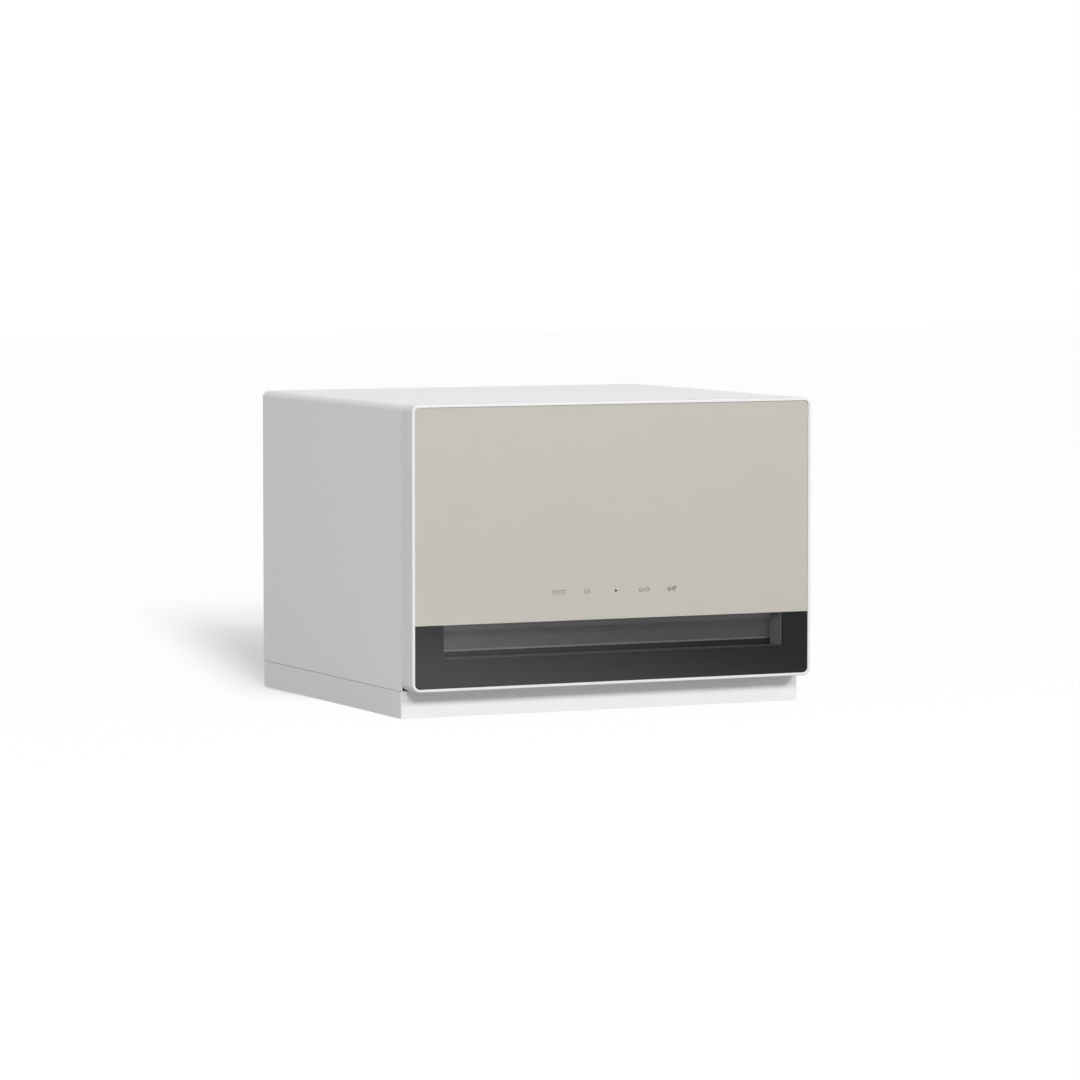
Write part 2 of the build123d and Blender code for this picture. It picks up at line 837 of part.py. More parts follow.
export_step(blower_impeller.part, "parts/blower_impeller.step")

# Heater housing between blower and duct
with BuildPart() as heater_housing:
    block(heater_left, duct_left, bulkhead_back_y, duct_back_y, duct_bottom, duct_top)
    block(
        heater_left,
        duct_left,
        bulkhead_back_y + duct_wall,
        duct_back_y - duct_wall,
        duct_bottom + duct_wall,
        duct_top - duct_wall,
        mode=Mode.SUBTRACT,
    )
heater_housing.part.label = "heater_housing"
export_step(heater_housing.part, "parts/heater_housing.step")

# Heater block, two ceramic bars across a stack of fins
heater_inset = duct_wall + slip
heater_middle_x = (heater_left + duct_left) / 2
with BuildPart() as heater_block:
    with Locations((heater_middle_x, (bulkhead_back_y + duct_back_y) / 2, slots_z)):
        with GridLocations(fin_pitch, 0, fin_count, 1):
            Box(fin_wall, blower_depth - 2 * heater_inset, duct_height - 2 * heater_inset)
        with Locations((0, 0, -bar_pitch / 2), (0, 0, bar_pitch / 2)):
            Box((fin_count + 1) * fin_pitch, blower_depth - 2 * heater_inset, bar_height)
heater_block.part.label = "heater_block"
export_step(heater_block.part, "parts/heater_block.step")

# Air duct, open to the heater and to the slots of the chamber
with BuildPart() as air_duct:
    block(duct_left, duct_right, bulkhead_back_y, duct_back_y, duct_bottom, duct_top)
    block(
        duct_left,
        duct_right - duct_wall,
        bulkhead_back_y + duct_wall,
        duct_back_y - duct_wall,
        duct_bottom + duct_wall,
        duct_top - duct_wall,
        mode=Mode.SUBTRACT,
    )
    with BuildSketch(upright(bulkhead_back_y)):
        with Locations((slots_x, slots_z)):
            Rectangle(port_width, port_height)
    extrude(amount=-duct_wall, mode=Mode.SUBTRACT)
air_duct.part.label = "air_duct"
export_step(air_duct.part, "parts/air_duct.step")

# Spacers that carry both boards on the bulkhead
main_x = half_width - main_inset
supply_x = blower_x


# Corners of a board, set in from its edges
def board_corners(x, z, board_width, board_height):
    dx = board_width / 2 - spacer_inset
    dz = board_height / 2 - spacer_inset
    return [(x + i * dx, z + k * dz) for i in (-1, 1) for k in (-1, 1)]


spacer_spots = board_corners(main_x, main_z, main_width, main_height)
spacer_spots += board_corners(supply_x, supply_z, supply_width, supply_height)
with BuildPart() as board_spacers:
    with BuildSketch(upright(bulkhead_back_y)):
        with Locations(*spacer_spots):
            Circle(spacer_radius)
    extrude(amount=-spacer_height)
board_spacers.part.label = "board_spacers"
export_step(board_spacers.part, "parts/board_spacers.step")

# Places on a board, as shares of its width and height from its middle
def on_board(x, z, board_width, board_height, shares):
    return [(x + i * board_width, z + k * board_height) for i, k in shares]


relay_shares = [(-0.29, 0.22), (-0.08, 0.22)]
processor_shares = [(0.17, -0.06)]
small_can_shares = [(-0.32, -0.22), (-0.18, -0.22), (0.35, 0.25)]
terminal_shares = [(0.12, -0.41), (0.35, -0.41)]
sink_shares = [(0.27, 0)]
large_can_shares = [(-0.29, 0.17), (-0.29, -0.17)]

# Main board with relays, a processor and capacitors
board_y = bulkhead_back_y + spacer_height
parts_y = board_y + board_thickness
with BuildPart() as main_board:
    with BuildSketch(upright(board_y)):
        with Locations((main_x, main_z)):
            Rectangle(main_width, main_height)
    extrude(amount=-board_thickness)
    with BuildSketch(upright(parts_y)):
        with Locations(*on_board(main_x, main_z, main_width, main_height, relay_shares)):
            Rectangle(relay_width, relay_height)
    extrude(amount=-relay_depth)
    with BuildSketch(upright(parts_y)):
        with Locations(*on_board(main_x, main_z, main_width, main_height, processor_shares)):
            Rectangle(processor_size, processor_size)
    extrude(amount=-processor_depth)
    with BuildSketch(upright(parts_y)):
        with Locations(*on_board(main_x, main_z, main_width, main_height, small_can_shares)):
            Circle(small_can_radius)
    extrude(amount=-small_can_depth)
    with BuildSketch(upright(parts_y)):
        with Locations(*on_board(main_x, main_z, main_width, main_height, terminal_shares)):
            Rectangle(terminal_width, terminal_height)
    extrude(amount=-terminal_depth)
main_board.part.label = "main_board"
export_step(main_board.part, "parts/main_board.step")

# Power supply board with a transformer, a heat sink and capacitors
with BuildPart() as power_supply:
    with BuildSketch(upright(board_y)):
        with Locations((supply_x, supply_z)):
            Rectangle(supply_width, supply_height)
    extrude(amount=-board_thickness)
    with BuildSketch(upright(parts_y)):
        with Locations((supply_x, supply_z)):
            Rectangle(transformer_width, transformer_height)
    extrude(amount=-transformer_depth)
    with BuildSketch(upright(parts_y)):
        with Locations(*on_board(supply_x, supply_z, supply_width, supply_height, sink_shares)):
            Rectangle(sink_wall, sink_height)
    extrude(amount=-sink_depth)
    with BuildSketch(upright(parts_y)):
        with Locations(*on_board(supply_x, supply_z, supply_width, supply_height, large_can_shares)):
            Circle(large_can_radius)
    extrude(amount=-large_can_depth)
power_supply.part.label = "power_supply"
export_step(power_supply.part, "parts/power_supply.step")

# Contact pins on the deck, which touch the contact plate of a shut drawer
contact_z = deck_z + contact_rise
tray_front_y = front_back_y + tray_wall
contact_plate_y = tray_front_y + contact_plate_wall
with BuildPart() as contact_pins:
    block(
        -pin_block_width / 2,
        pin_block_width / 2,
        deck_front_y,
        deck_front_y + pin_block_depth,
        deck_z,
        deck_z + 2 * contact_rise,
    )
    with BuildSketch(upright(contact_plate_y + running)):
        with Locations((0, contact_z)):
            with GridLocations(contact_pitch, 0, contact_count, 1):
                Circle(contact_radius)
    extrude(amount=contact_plate_y + running - deck_front_y)
contact_pins.part.label = "contact_pins"
export_step(contact_pins.part, "parts/contact_pins.step")

# Telescopic slides. Each member is a channel that faces the drawer or the cabinet.
outer_half = slide_height / 2
row_height = ball_diameter + 2 * ball_play
middle_half = outer_half - slide_wall - row_height
inner_half = middle_half - slide_wall - row_height
slide_back_y = deck_front_y + slide_length
middle_outer_x = slide_outer_x - middle_setback
middle_inner_x = slide_inner_x + middle_reach
inner_lip_x = slide_inner_x + inner_lip
outer_lip_x = slide_outer_x - outer_lip
cage_front_y = deck_front_y + travel / 4 + cage_gap
ball_count = int((cage_length - ball_pitch) // ball_pitch)
outer_row_x = (outer_lip_x + middle_outer_x) / 2
inner_row_x = (middle_inner_x + inner_lip_x) / 2 + slip


# A channel with its web between two depths of x, its flanges to a third, and its half height
def channel(web_x0, web_x1, lip_x, half_height):
    web = sorted((web_x0, web_x1))
    lip = sorted((web_x0, lip_x))
    block(web[0], web[1], deck_front_y, slide_back_y, slide_z - half_height, slide_z + half_height)
    for k in (-1, 1):
        level = slide_z + k * (half_height - slide_wall / 2)
        block(lip[0], lip[1], deck_front_y, slide_back_y, level - slide_wall / 2, level + slide_wall / 2)


# Two rows of balls, above and below, joined by a strip each
def ball_cage(row_x, row_half):
    for k in (-1, 1):
        row_z = slide_z + k * row_half
        with Locations((row_x, cage_front_y + cage_length / 2, row_z)):
            Box(ball_diameter, cage_length, cage_wall)
            with GridLocations(0, ball_pitch, 1, ball_count):
                Sphere(ball_diameter / 2)


for side, sign in side_signs.items():
    with BuildPart() as slide_outer:
        channel(sign * slide_outer_x, sign * (slide_outer_x - slide_wall), sign * outer_lip_x, outer_half)
    slide_outer.part.label = f"slide_outer_{side}"
    export_step(slide_outer.part, f"parts/slide_outer_{side}.step")

    with BuildPart() as slide_middle:
        channel(
            sign * middle_outer_x,
            sign * (middle_outer_x - slide_wall),
            sign * middle_inner_x,
            middle_half,
        )
    slide_middle.part.label = f"slide_middle_{side}"
    export_step(slide_middle.part, f"parts/slide_middle_{side}.step")

    with BuildPart() as slide_inner:
        channel(sign * slide_inner_x, sign * (slide_inner_x + slide_wall), sign * inner_lip_x, inner_half)
    slide_inner.part.label = f"slide_inner_{side}"
    export_step(slide_inner.part, f"parts/slide_inner_{side}.step")

    with BuildPart() as cage_outer:
        ball_cage(sign * outer_row_x, outer_half - slide_wall - row_height / 2)
    cage_outer.part.label = f"ball_cage_outer_{side}"
    export_step(cage_outer.part, f"parts/ball_cage_outer_{side}.step")

    with BuildPart() as cage_inner:
        ball_cage(sign * inner_row_x, middle_half - slide_wall - row_height / 2)
    cage_inner.part.label = f"ball_cage_inner_{side}"
    export_step(cage_inner.part, f"parts/ball_cage_inner_{side}.step")

# Drawer tray, a folded sheet that runs under the chamber walls to the slides
tray_bottom = tray_floor - tray_wall
tray_front_bottom = deck_z + tray_front_lift
tray_screw_x = chamber_x - tray_screw_inset
tray_screw_z = tray_floor + screw_head / 2 + tray_screw_gap
tray_screw_spots = [(x * tray_screw_x, tray_screw_z) for x in (-1, -1 / 3, 1 / 3, 1)]
with BuildPart() as drawer_tray:
    with BuildSketch(upright(front_back_y)) as tray_section:
        with Locations((0, tray_bottom + (tray_side_height + tray_wall) / 2)):
            Rectangle(2 * slide_inner_x, tray_side_height + tray_wall)
        fillet(tray_section.vertices().group_by(Axis.Y)[0], tray_bend)
        with BuildSketch(mode=Mode.PRIVATE) as tray_hollow:
            with Locations((0, tray_floor + tray_side_height / 2)):
                Rectangle(2 * tray_x, tray_side_height)
            fillet(tray_hollow.vertices().group_by(Axis.Y)[0], tray_bend - tray_wall)
        add(tray_hollow.sketch, mode=Mode.SUBTRACT)
    extrude(amount=front_back_y - tray_back_y)
    block(
        -slide_inner_x,
        slide_inner_x,
        front_back_y,
        tray_front_y,
        tray_front_bottom,
        tray_floor + tray_front_height,
    )
    block(
        -tray_lip_x,
        tray_lip_x,
        tray_back_y - tray_wall,
        tray_back_y,
        tray_floor,
        tray_floor + tray_lip_height,
    )
    cross_holes(tray_screw_spots, hole_radius, front_back_y, tray_front_y)
drawer_tray.part.label = "drawer_tray"
export_step(drawer_tray.part, "parts/drawer_tray.step")

# Tray gussets, folded brackets in the corner under the tray
gusset_x = chamber_x - gusset_inset
with BuildPart() as tray_gussets:
    for sign in (-1, 1):
        with BuildSketch(Plane.YZ.offset(sign * gusset_x - gusset_wall / 2)):
            with BuildLine():
                Polyline(
                    (tray_front_y, tray_bottom),
                    (tray_front_y + gusset_length, tray_bottom),
                    (tray_front_y + gusset_length, tray_bottom - gusset_nose),
                    (tray_front_y + gusset_nose, tray_front_bottom),
                    (tray_front_y, tray_front_bottom),
                    close=True,
                )
            make_face()
        extrude(amount=gusset_wall)
tray_gussets.part.label = "tray_gussets"
export_step(tray_gussets.part, "parts/tray_gussets.step")

# Contact plate behind the front wall of the tray
with BuildPart() as contact_plate:
    block(
        -pin_block_width / 2,
        pin_block_width / 2,
        tray_front_y,
        contact_plate_y,
        contact_z - contact_plate_height / 2,
        contact_z + contact_plate_height / 2,
    )
contact_plate.part.label = "contact_plate"
export_step(contact_plate.part, "parts/contact_plate.step")

# Front frame with its rim, backing and screw posts
tunnel_outer_width = window_width + 2 * tunnel_wall
tunnel_outer_height = window_height + 2 * tunnel_wall
cover_y = front_back_y - cover_wall
cover_x = cavity_x - slip
cover_post_x = cavity_x - cover_post_inset
cover_rows = (front_z + cover_row_inset, frame_middle_z, top_z - cover_row_inset)
cover_spots = [(sign * cover_post_x, z) for z in cover_rows for sign in (-1, 1)]
cover_spots.append((0, top_z - cover_row_inset))
board_post_x = touch_board_width / 2 - touch_post_inset
board_post_z = touch_board_height / 2 - touch_post_inset
board_post_spots = [(i * board_post_x, key_z + k * board_post_z) for i in (-1, 1) for k in (-1, 1)]
with BuildPart() as front_frame:
    with BuildSketch(upright(front_y)):
        with Locations((0, frame_middle_z)):
            RectangleRounded(width, frame_height, front_corner)
    extrude(amount=front_y - front_back_y)
    fillet(front_frame.edges().group_by(Axis.Y)[0], front_edge)
    with BuildSketch(upright(front_y)):
        with Locations((0, frame_middle_z)):
            RectangleRounded(2 * cavity_x, frame_height - 2 * rim, glass_corner)
    extrude(amount=front_y - backing_y, mode=Mode.SUBTRACT)
    with BuildSketch(upright(backing_y + backing_wall)):
        with Locations((0, frame_middle_z)):
            RectangleRounded(2 * cavity_x, frame_height - 2 * rim, glass_corner)
    extrude(amount=backing_y + backing_wall - front_back_y, mode=Mode.SUBTRACT)
    with BuildSketch(upright(backing_y + backing_wall)):
        with Locations(*cover_spots):
            Circle(cover_post_radius)
    extrude(amount=backing_y + backing_wall - cover_y)
    cross_holes(cover_spots, hole_radius, backing_y + backing_wall, cover_y)
    with BuildSketch(upright(backing_y + backing_wall)):
        with Locations(*board_post_spots):
            Circle(cover_post_radius / 2)
    extrude(amount=-pad_room + backing_wall)
    with BuildSketch(upright(backing_y)):
        with Locations((0, window_middle_z)):
            Rectangle(tunnel_outer_width + slip, tunnel_outer_height + slip)
        with Locations((0, key_z)):
            with GridLocations(key_pitch, 0, key_count, 1):
                Circle(pad_diameter / 2 + slip)
    extrude(amount=-backing_wall, mode=Mode.SUBTRACT)
    with BuildSketch(Plane.XY.offset(top_z)):
        with Locations((lens_x, front_y + lens_setback)):
            SlotOverall(lens_length + slip, lens_width + slip)
    extrude(amount=-lens_depth, mode=Mode.SUBTRACT)
front_frame.part.label = "front_frame"
export_step(front_frame.part, "parts/front_frame.step")

# Status lens, let into the top of the drawer front
with BuildPart() as status_lens:
    with BuildSketch(Plane.XY.offset(top_z)):
        with Locations((lens_x, front_y + lens_setback)):
            SlotOverall(lens_length, lens_width)
    extrude(amount=-lens_depth)
status_lens.part.label = "status_lens"
export_step(status_lens.part, "parts/status_lens.step")

# Front glass
glass_height = glass_top - glass_bottom
with BuildPart() as front_glass:
    with BuildSketch(upright(glass_y)):
        with Locations((0, (glass_bottom + glass_top) / 2)):
            RectangleRounded(2 * glass_x, glass_height, glass_corner)
    extrude(amount=-glass_thickness)
    chamfer(front_glass.edges().group_by(Axis.Y)[0], glass_edge)
front_glass.part.label = "front_glass"
export_step(front_glass.part, "parts/front_glass.step")

# Prints behind the glass, the pale one above and the smoke grey one below
with BuildPart() as pale_print:
    with BuildSketch(upright(print_y)) as pale_outline:
        with Locations((0, (split_z + glass_top) / 2)):
            Rectangle(2 * glass_x, glass_top - split_z)
        fillet(pale_outline.vertices().group_by(Axis.Y)[-1], glass_corner)
    extrude(amount=-print_thickness)
pale_print.part.label = "pale_print"
export_step(pale_print.part, "parts/pale_print.step")

with BuildPart() as smoke_print:
    with BuildSketch(upright(print_y)) as smoke_outline:
        with Locations((0, (split_z + glass_bottom) / 2)):
            Rectangle(2 * glass_x, split_z - glass_bottom)
        fillet(smoke_outline.vertices().group_by(Axis.Y)[0], glass_corner)
    extrude(amount=-print_thickness)
    with BuildSketch(upright(print_y)) as smoke_window:
        with Locations((0, (window_bottom + split_z) / 2)):
            Rectangle(window_width, split_z - window_bottom)
        fillet(smoke_window.vertices().group_by(Axis.Y)[0], window_corner)
    extrude(amount=-print_thickness, mode=Mode.SUBTRACT)
smoke_print.part.label = "smoke_print"
export_step(smoke_print.part, "parts/smoke_print.step")

# Window tunnel, a moulding from the prints to the back of the drawer front
with BuildPart() as window_tunnel:
    with BuildSketch(upright(backing_y)):
        with Locations((0, window_middle_z)):
            Rectangle(tunnel_outer_width, tunnel_outer_height)
            Rectangle(window_width, window_height, mode=Mode.SUBTRACT)
    extrude(amount=backing_y - front_back_y)
    with BuildSketch(upright(backing_y + backing_wall)):
        with Locations((0, window_middle_z)):
            Rectangle(tunnel_outer_width + 2 * tunnel_flange_x, tunnel_outer_height + 2 * tunnel_flange_z)
            Rectangle(window_width, window_height, mode=Mode.SUBTRACT)
    extrude(amount=-tunnel_wall)
window_tunnel.part.label = "window_tunnel"
export_step(window_tunnel.part, "parts/window_tunnel.step")

# Inner pane, set into the back of the tunnel
with BuildPart() as inner_pane:
    with BuildSketch(upright(front_back_y - pane_thickness)):
        with Locations((0, window_middle_z)):
            Rectangle(window_width - slip, window_height - slip)
    extrude(amount=-pane_thickness)
inner_pane.part.label = "inner_pane"
export_step(inner_pane.part, "parts/inner_pane.step")

# Inner cover, which closes the back of the front frame
with BuildPart() as inner_cover:
    with BuildSketch(upright(cover_y)):
        with Locations((0, frame_middle_z)):
            RectangleRounded(2 * cover_x, frame_height - 2 * rim - 2 * slip, glass_corner)
        with Locations((0, window_middle_z)):
            Rectangle(tunnel_outer_width + slip, tunnel_outer_height + slip, mode=Mode.SUBTRACT)
    extrude(amount=-cover_wall)
    cross_holes(cover_spots, hole_radius, cover_y, front_back_y)
    cross_holes(cover_spots, screw_head / 2 + slip, front_back_y - cover_wall / 2, front_back_y)
    cross_holes(tray_screw_spots, hole_radius, cover_y, front_back_y)
inner_cover.part.label = "inner_cover"
export_step(inner_cover.part, "parts/inner_cover.step")

# Cover screws, with heads sunk level with the inner cover
cover_plane = Plane(origin=(0, front_back_y - cover_wall / 2, 0), x_dir=(-1, 0, 0), z_dir=(0, 1, 0))
with BuildPart() as cover_screws:
    screws(cover_plane, [(-x, z) for x, z in cover_spots], cover_wall / 2, cover_wall / 2 + cover_screw_grip)
cover_screws.part.label = "cover_screws"
export_step(cover_screws.part, "parts/cover_screws.step")

# Tray screws, inside the tray, whose shanks pass its front wall into the inner cover
tray_plane = Plane(origin=(0, tray_front_y, 0), x_dir=(-1, 0, 0), z_dir=(0, 1, 0))
with BuildPart() as tray_screws:
    screws(tray_plane, tray_screw_spots, head_height, tray_wall + cover_wall)
tray_screws.part.label = "tray_screws"
export_step(tray_screws.part, "parts/tray_screws.step")

# Door seal on the inner cover, round the sides and top of the chamber mouth
seal_outer_x = seal_inner_x + seal_width
seal_outer_z = seal_inner_z + seal_width
with BuildPart() as door_seal:
    with BuildSketch(upright(front_back_y)) as seal_outline:
        with Locations((0, (mouth_z + seal_outer_z) / 2)):
            Rectangle(2 * seal_outer_x, seal_outer_z - mouth_z)
        fillet(seal_outline.vertices().group_by(Axis.Y)[-1], seal_width)
        with Locations((0, (mouth_z + seal_inner_z) / 2)):
            Rectangle(2 * seal_inner_x, seal_inner_z - mouth_z, mode=Mode.SUBTRACT)
    extrude(amount=-seal_height)
door_seal.part.label = "door_seal"
export_step(door_seal.part, "parts/door_seal.step")

# Closing magnets on the inside of the inner cover, two to hold and one for the switch
with BuildPart() as closing_magnets:
    with BuildSketch(upright(cover_y - magnet_thickness)):
        with Locations((-latch_x, latch_z), (latch_x, latch_z), (latch_x, reed_z)):
            Rectangle(magnet_width, magnet_height)
    extrude(amount=-magnet_thickness)
closing_magnets.part.label = "closing_magnets"
export_step(closing_magnets.part, "parts/closing_magnets.step")

# Touch board on its posts
touch_y = backing_y + pad_room
with BuildPart() as touch_board:
    with BuildSketch(upright(touch_y)):
        with Locations((0, key_z)):
            Rectangle(touch_board_width, touch_board_height)
    extrude(amount=-board_thickness)
    with BuildSketch(upright(touch_y + board_thickness)):
        with Locations((0, key_z)):
            Rectangle(touch_chip, touch_chip)
        with Locations((-touch_plug_shift, key_z)):
            Rectangle(touch_plug_length, touch_plug_width)
    extrude(amount=-touch_chip_height)
touch_board.part.label = "touch_board"
export_step(touch_board.part, "parts/touch_board.step")

# Touch pads between the board and the pale print
with BuildPart() as touch_pads:
    with BuildSketch(upright(backing_y)):
        with Locations((0, key_z)):
            with GridLocations(key_pitch, 0, key_count, 1):
                Circle(pad_diameter / 2)
    extrude(amount=-pad_room)
touch_pads.part.label = "touch_pads"
export_step(touch_pads.part, "parts/touch_pads.step")
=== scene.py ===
import json
import math
import bmesh
import bpy
from mathutils import Matrix, Vector


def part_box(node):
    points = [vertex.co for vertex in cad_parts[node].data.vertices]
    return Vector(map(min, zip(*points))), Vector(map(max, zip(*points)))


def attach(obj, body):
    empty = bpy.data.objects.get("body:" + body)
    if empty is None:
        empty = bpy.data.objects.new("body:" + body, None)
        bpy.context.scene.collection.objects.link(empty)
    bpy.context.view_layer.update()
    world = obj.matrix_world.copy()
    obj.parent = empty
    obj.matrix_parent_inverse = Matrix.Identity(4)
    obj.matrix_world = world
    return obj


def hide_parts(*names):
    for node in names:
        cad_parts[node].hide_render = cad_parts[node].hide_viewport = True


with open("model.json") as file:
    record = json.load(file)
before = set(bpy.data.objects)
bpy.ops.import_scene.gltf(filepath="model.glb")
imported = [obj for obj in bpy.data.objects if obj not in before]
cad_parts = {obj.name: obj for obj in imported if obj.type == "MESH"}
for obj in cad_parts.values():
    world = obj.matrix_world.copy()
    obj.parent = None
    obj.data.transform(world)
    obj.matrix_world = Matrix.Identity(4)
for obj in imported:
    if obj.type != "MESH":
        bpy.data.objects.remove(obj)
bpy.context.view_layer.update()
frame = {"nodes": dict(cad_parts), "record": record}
nodes = frame["nodes"]
nodeSlot = {part["node"]: part["material_slot"] for part in frame["record"]["subparts"]}
bodies = frame["record"]["behaviour"]["bodies"]
nodeBody = {node: body for body, held in bodies.items() for node in held}
mm = 0.001

# Sizes in mm and angles in degrees that all meshes share, and the weight of the even normals
meshValues = {
    "merge": 0.002, "lastMerge": 0.03, "near": 0.01,
    "flatAngle": 0.5, "sharpAngle": 40, "normalWeight": 90,
}


# Camera, where the photograph was taken from
cameraValues = {
    "place": (-2.1506, -4.6457, 0.5198),
    "aim": (0.42044, 0.90462, -0.06993),
    "lens": 166.0,
    "sensor": 36.0,
    "farthest": 60.0,
}


def turnTowards(piece, aim):
    piece.rotation_euler = Vector(aim).to_track_quat("-Z", "Y").to_euler()


def addCamera(values):
    data = bpy.data.cameras.new("photoCamera")
    data.lens = values["lens"]
    data.sensor_width = values["sensor"]
    data.clip_end = values["farthest"]
    eye = bpy.data.objects.new("photoCamera", data)
    eye.location = values["place"]
    turnTowards(eye, values["aim"])
    bpy.context.scene.collection.objects.link(eye)
    bpy.context.scene.camera = eye


addCamera(cameraValues)
print("camera placed")


# A value in a shader, so that sums and products can be written as Python expressions
class Value:
    def __init__(self, tree, socket):
        self.tree = tree
        self.socket = socket

    def combine(self, operation, first, second=0.0):
        return self.tree.add("ShaderNodeMath", {"operation": operation}, {0: first, 1: second})

    def __add__(self, other):
        return self.combine("ADD", self, other)

    def __radd__(self, other):
        return self.combine("ADD", other, self)

    def __sub__(self, other):
        return self.combine("SUBTRACT", self, other)

    def __rsub__(self, other):
        return self.combine("SUBTRACT", other, self)

    def __mul__(self, other):
        return self.combine("MULTIPLY", self, other)

    def __rmul__(self, other):
        return self.combine("MULTIPLY", other, self)

    def __pow__(self, other):
        return self.combine("POWER", self, other)

    # From 0 to 1 as the value goes from one number to another, in a soft curve
    def ramp(self, start, end):
        inputs = {"Value": self, "From Min": start, "From Max": end}
        return self.tree.add("ShaderNodeMapRange", {"interpolation_type": "SMOOTHSTEP"}, inputs)


# The node tree of one material or of the world
class Tree:
    def __init__(self, owner):
        owner.use_nodes = True
        self.nodes = owner.node_tree.nodes
        self.links = owner.node_tree.links
        self.nodes.clear()

    def node(self, kind, settings, inputs):
        made = self.nodes.new(kind)
        for key, setting in settings.items():
            setattr(made, key, setting)
        for key, given in inputs.items():
            if isinstance(given, Value):
                self.links.new(given.socket, made.inputs[key])
            else:
                made.inputs[key].default_value = given
        return made

    def add(self, kind, settings, inputs, output=0):
        return Value(self, self.node(kind, settings, inputs).outputs[output])

    def place(self):
        return self.add("ShaderNodeTexCoord", {}, {}, "Object")

    def axis(self, letter):
        return self.add("ShaderNodeSeparateXYZ", {}, {"Vector": self.place()}, letter)

    def mapped(self, scale):
        return self.add("ShaderNodeMapping", {}, {"Vector": self.place(), "Scale": scale})

    def noise(self, scale, detail=3.0, rough=0.5, where=None):
        inputs = {
            "Vector": where or self.place(), "Scale": scale,
            "Detail": detail, "Roughness": rough,
        }
        return self.add("ShaderNodeTexNoise", {}, inputs, "Fac")

    def tint(self, factor, first, second):
        return self.add("ShaderNodeMix", {"data_type": "RGBA"}, {0: factor, 6: first, 7: second}, 2)

    def bump(self, height, strength, distance):
        inputs = {"Height": height, "Strength": strength, "Distance": distance}
        return self.add("ShaderNodeBump", {}, inputs)

    def blend(self, factor, first, second):
        return self.add("ShaderNodeMixShader", {}, {0: factor, 1: first, 2: second})

    def seenBy(self, ray):
        return self.add("ShaderNodeLightPath", {}, {}, ray)


def grey(level):
    return (level, level, level, 1.0)


def shade(colour, factor):
    return tuple(channel * factor for channel in colour[:3]) + (1.0,)


def newMaterial(name):
    material = bpy.data.materials.new(name)
    tree = Tree(material)
    out = tree.node("ShaderNodeOutputMaterial", {}, {})
    return material, tree, out


# What the finishes share: the detail and roughness of their noise, and the curves of veil and gloss
surfaceValues = {
    "noiseMiddle": 0.5, "cloudDetail": 2.0, "grainDetail": 2.0, "grainRoughness": 0.6,
    "streakDetail": 4.0, "streakRoughness": 0.65,
    "metalCloud": 9.0, "metalCloudDetail": 3.0, "metalCloudGloss": 0.06,
    "veilCurve": 1.5, "facingBlend": 0.5, "facingCurve": 5.0, "shine": 0.5,
}


# Paint, ink, rubber and moulded plastic: a slightly uneven colour, a fine surface texture
# and uneven gloss. otherWhere names an axis and the two places between which the colour
# goes over into otherColour.
def coatedFinish(name, values):
    material, tree, out = newMaterial(name)
    shared = surfaceValues
    cloud = tree.noise(values["cloud"], shared["cloudDetail"])
    grain = tree.noise(values["grain"], shared["grainDetail"], shared["grainRoughness"])
    colour = values["colour"]
    shown = tree.tint(cloud, shade(colour, 1.0 - values["uneven"]), shade(colour, 1.0))
    if "otherWhere" in values:
        letter, start, end = values["otherWhere"]
        other = tree.axis(letter).ramp(start, end)
        shown = tree.tint(other, shown, shade(values["otherColour"], 1.0))
    inputs = {
        "Base Color": shown,
        "Roughness": values["rough"] + values["roughSpread"] * (cloud - shared["noiseMiddle"]),
        "Normal": tree.bump(grain, values["bump"], values["height"]),
        "Specular IOR Level": values.get("shine", shared["shine"]),
    }
    body = tree.add("ShaderNodeBsdfPrincipled", {}, inputs)
    tree.links.new(body.socket, out.inputs["Surface"])
    return material


# Bare metal. Streaks run along an axis whose scale is small, and equal scales give a mottled
# surface.
def metalFinish(name, values):
    material, tree, out = newMaterial(name)
    shared = surfaceValues
    where = tree.mapped(values["streak"])
    streak = tree.noise(1.0, shared["streakDetail"], shared["streakRoughness"], where)
    cloud = tree.noise(shared["metalCloud"], shared["metalCloudDetail"])
    colour = values["colour"]
    shown = tree.tint(streak, shade(colour, 1.0 - values["uneven"]), shade(colour, 1.0))
    middle = shared["noiseMiddle"]
    rough = values["rough"] + values["roughSpread"] * (streak - middle)
    rough = rough + shared["metalCloudGloss"] * (cloud - middle)
    if "otherWhere" in values:
        letter, start, end = values["otherWhere"]
        other = tree.axis(letter).ramp(start, end)
        shown = tree.tint(other, shown, shade(values["otherColour"], 1.0))
        rough = rough + other * (values["otherRough"] - values["rough"])
    inputs = {
        "Base Color": shown,
        "Metallic": 1.0,
        "Roughness": rough,
        "Normal": tree.bump(streak, values["bump"], values["height"]),
    }
    body = tree.add("ShaderNodeBsdfPrincipled", {}, inputs)
    tree.links.new(body.socket, out.inputs["Surface"])
    return material


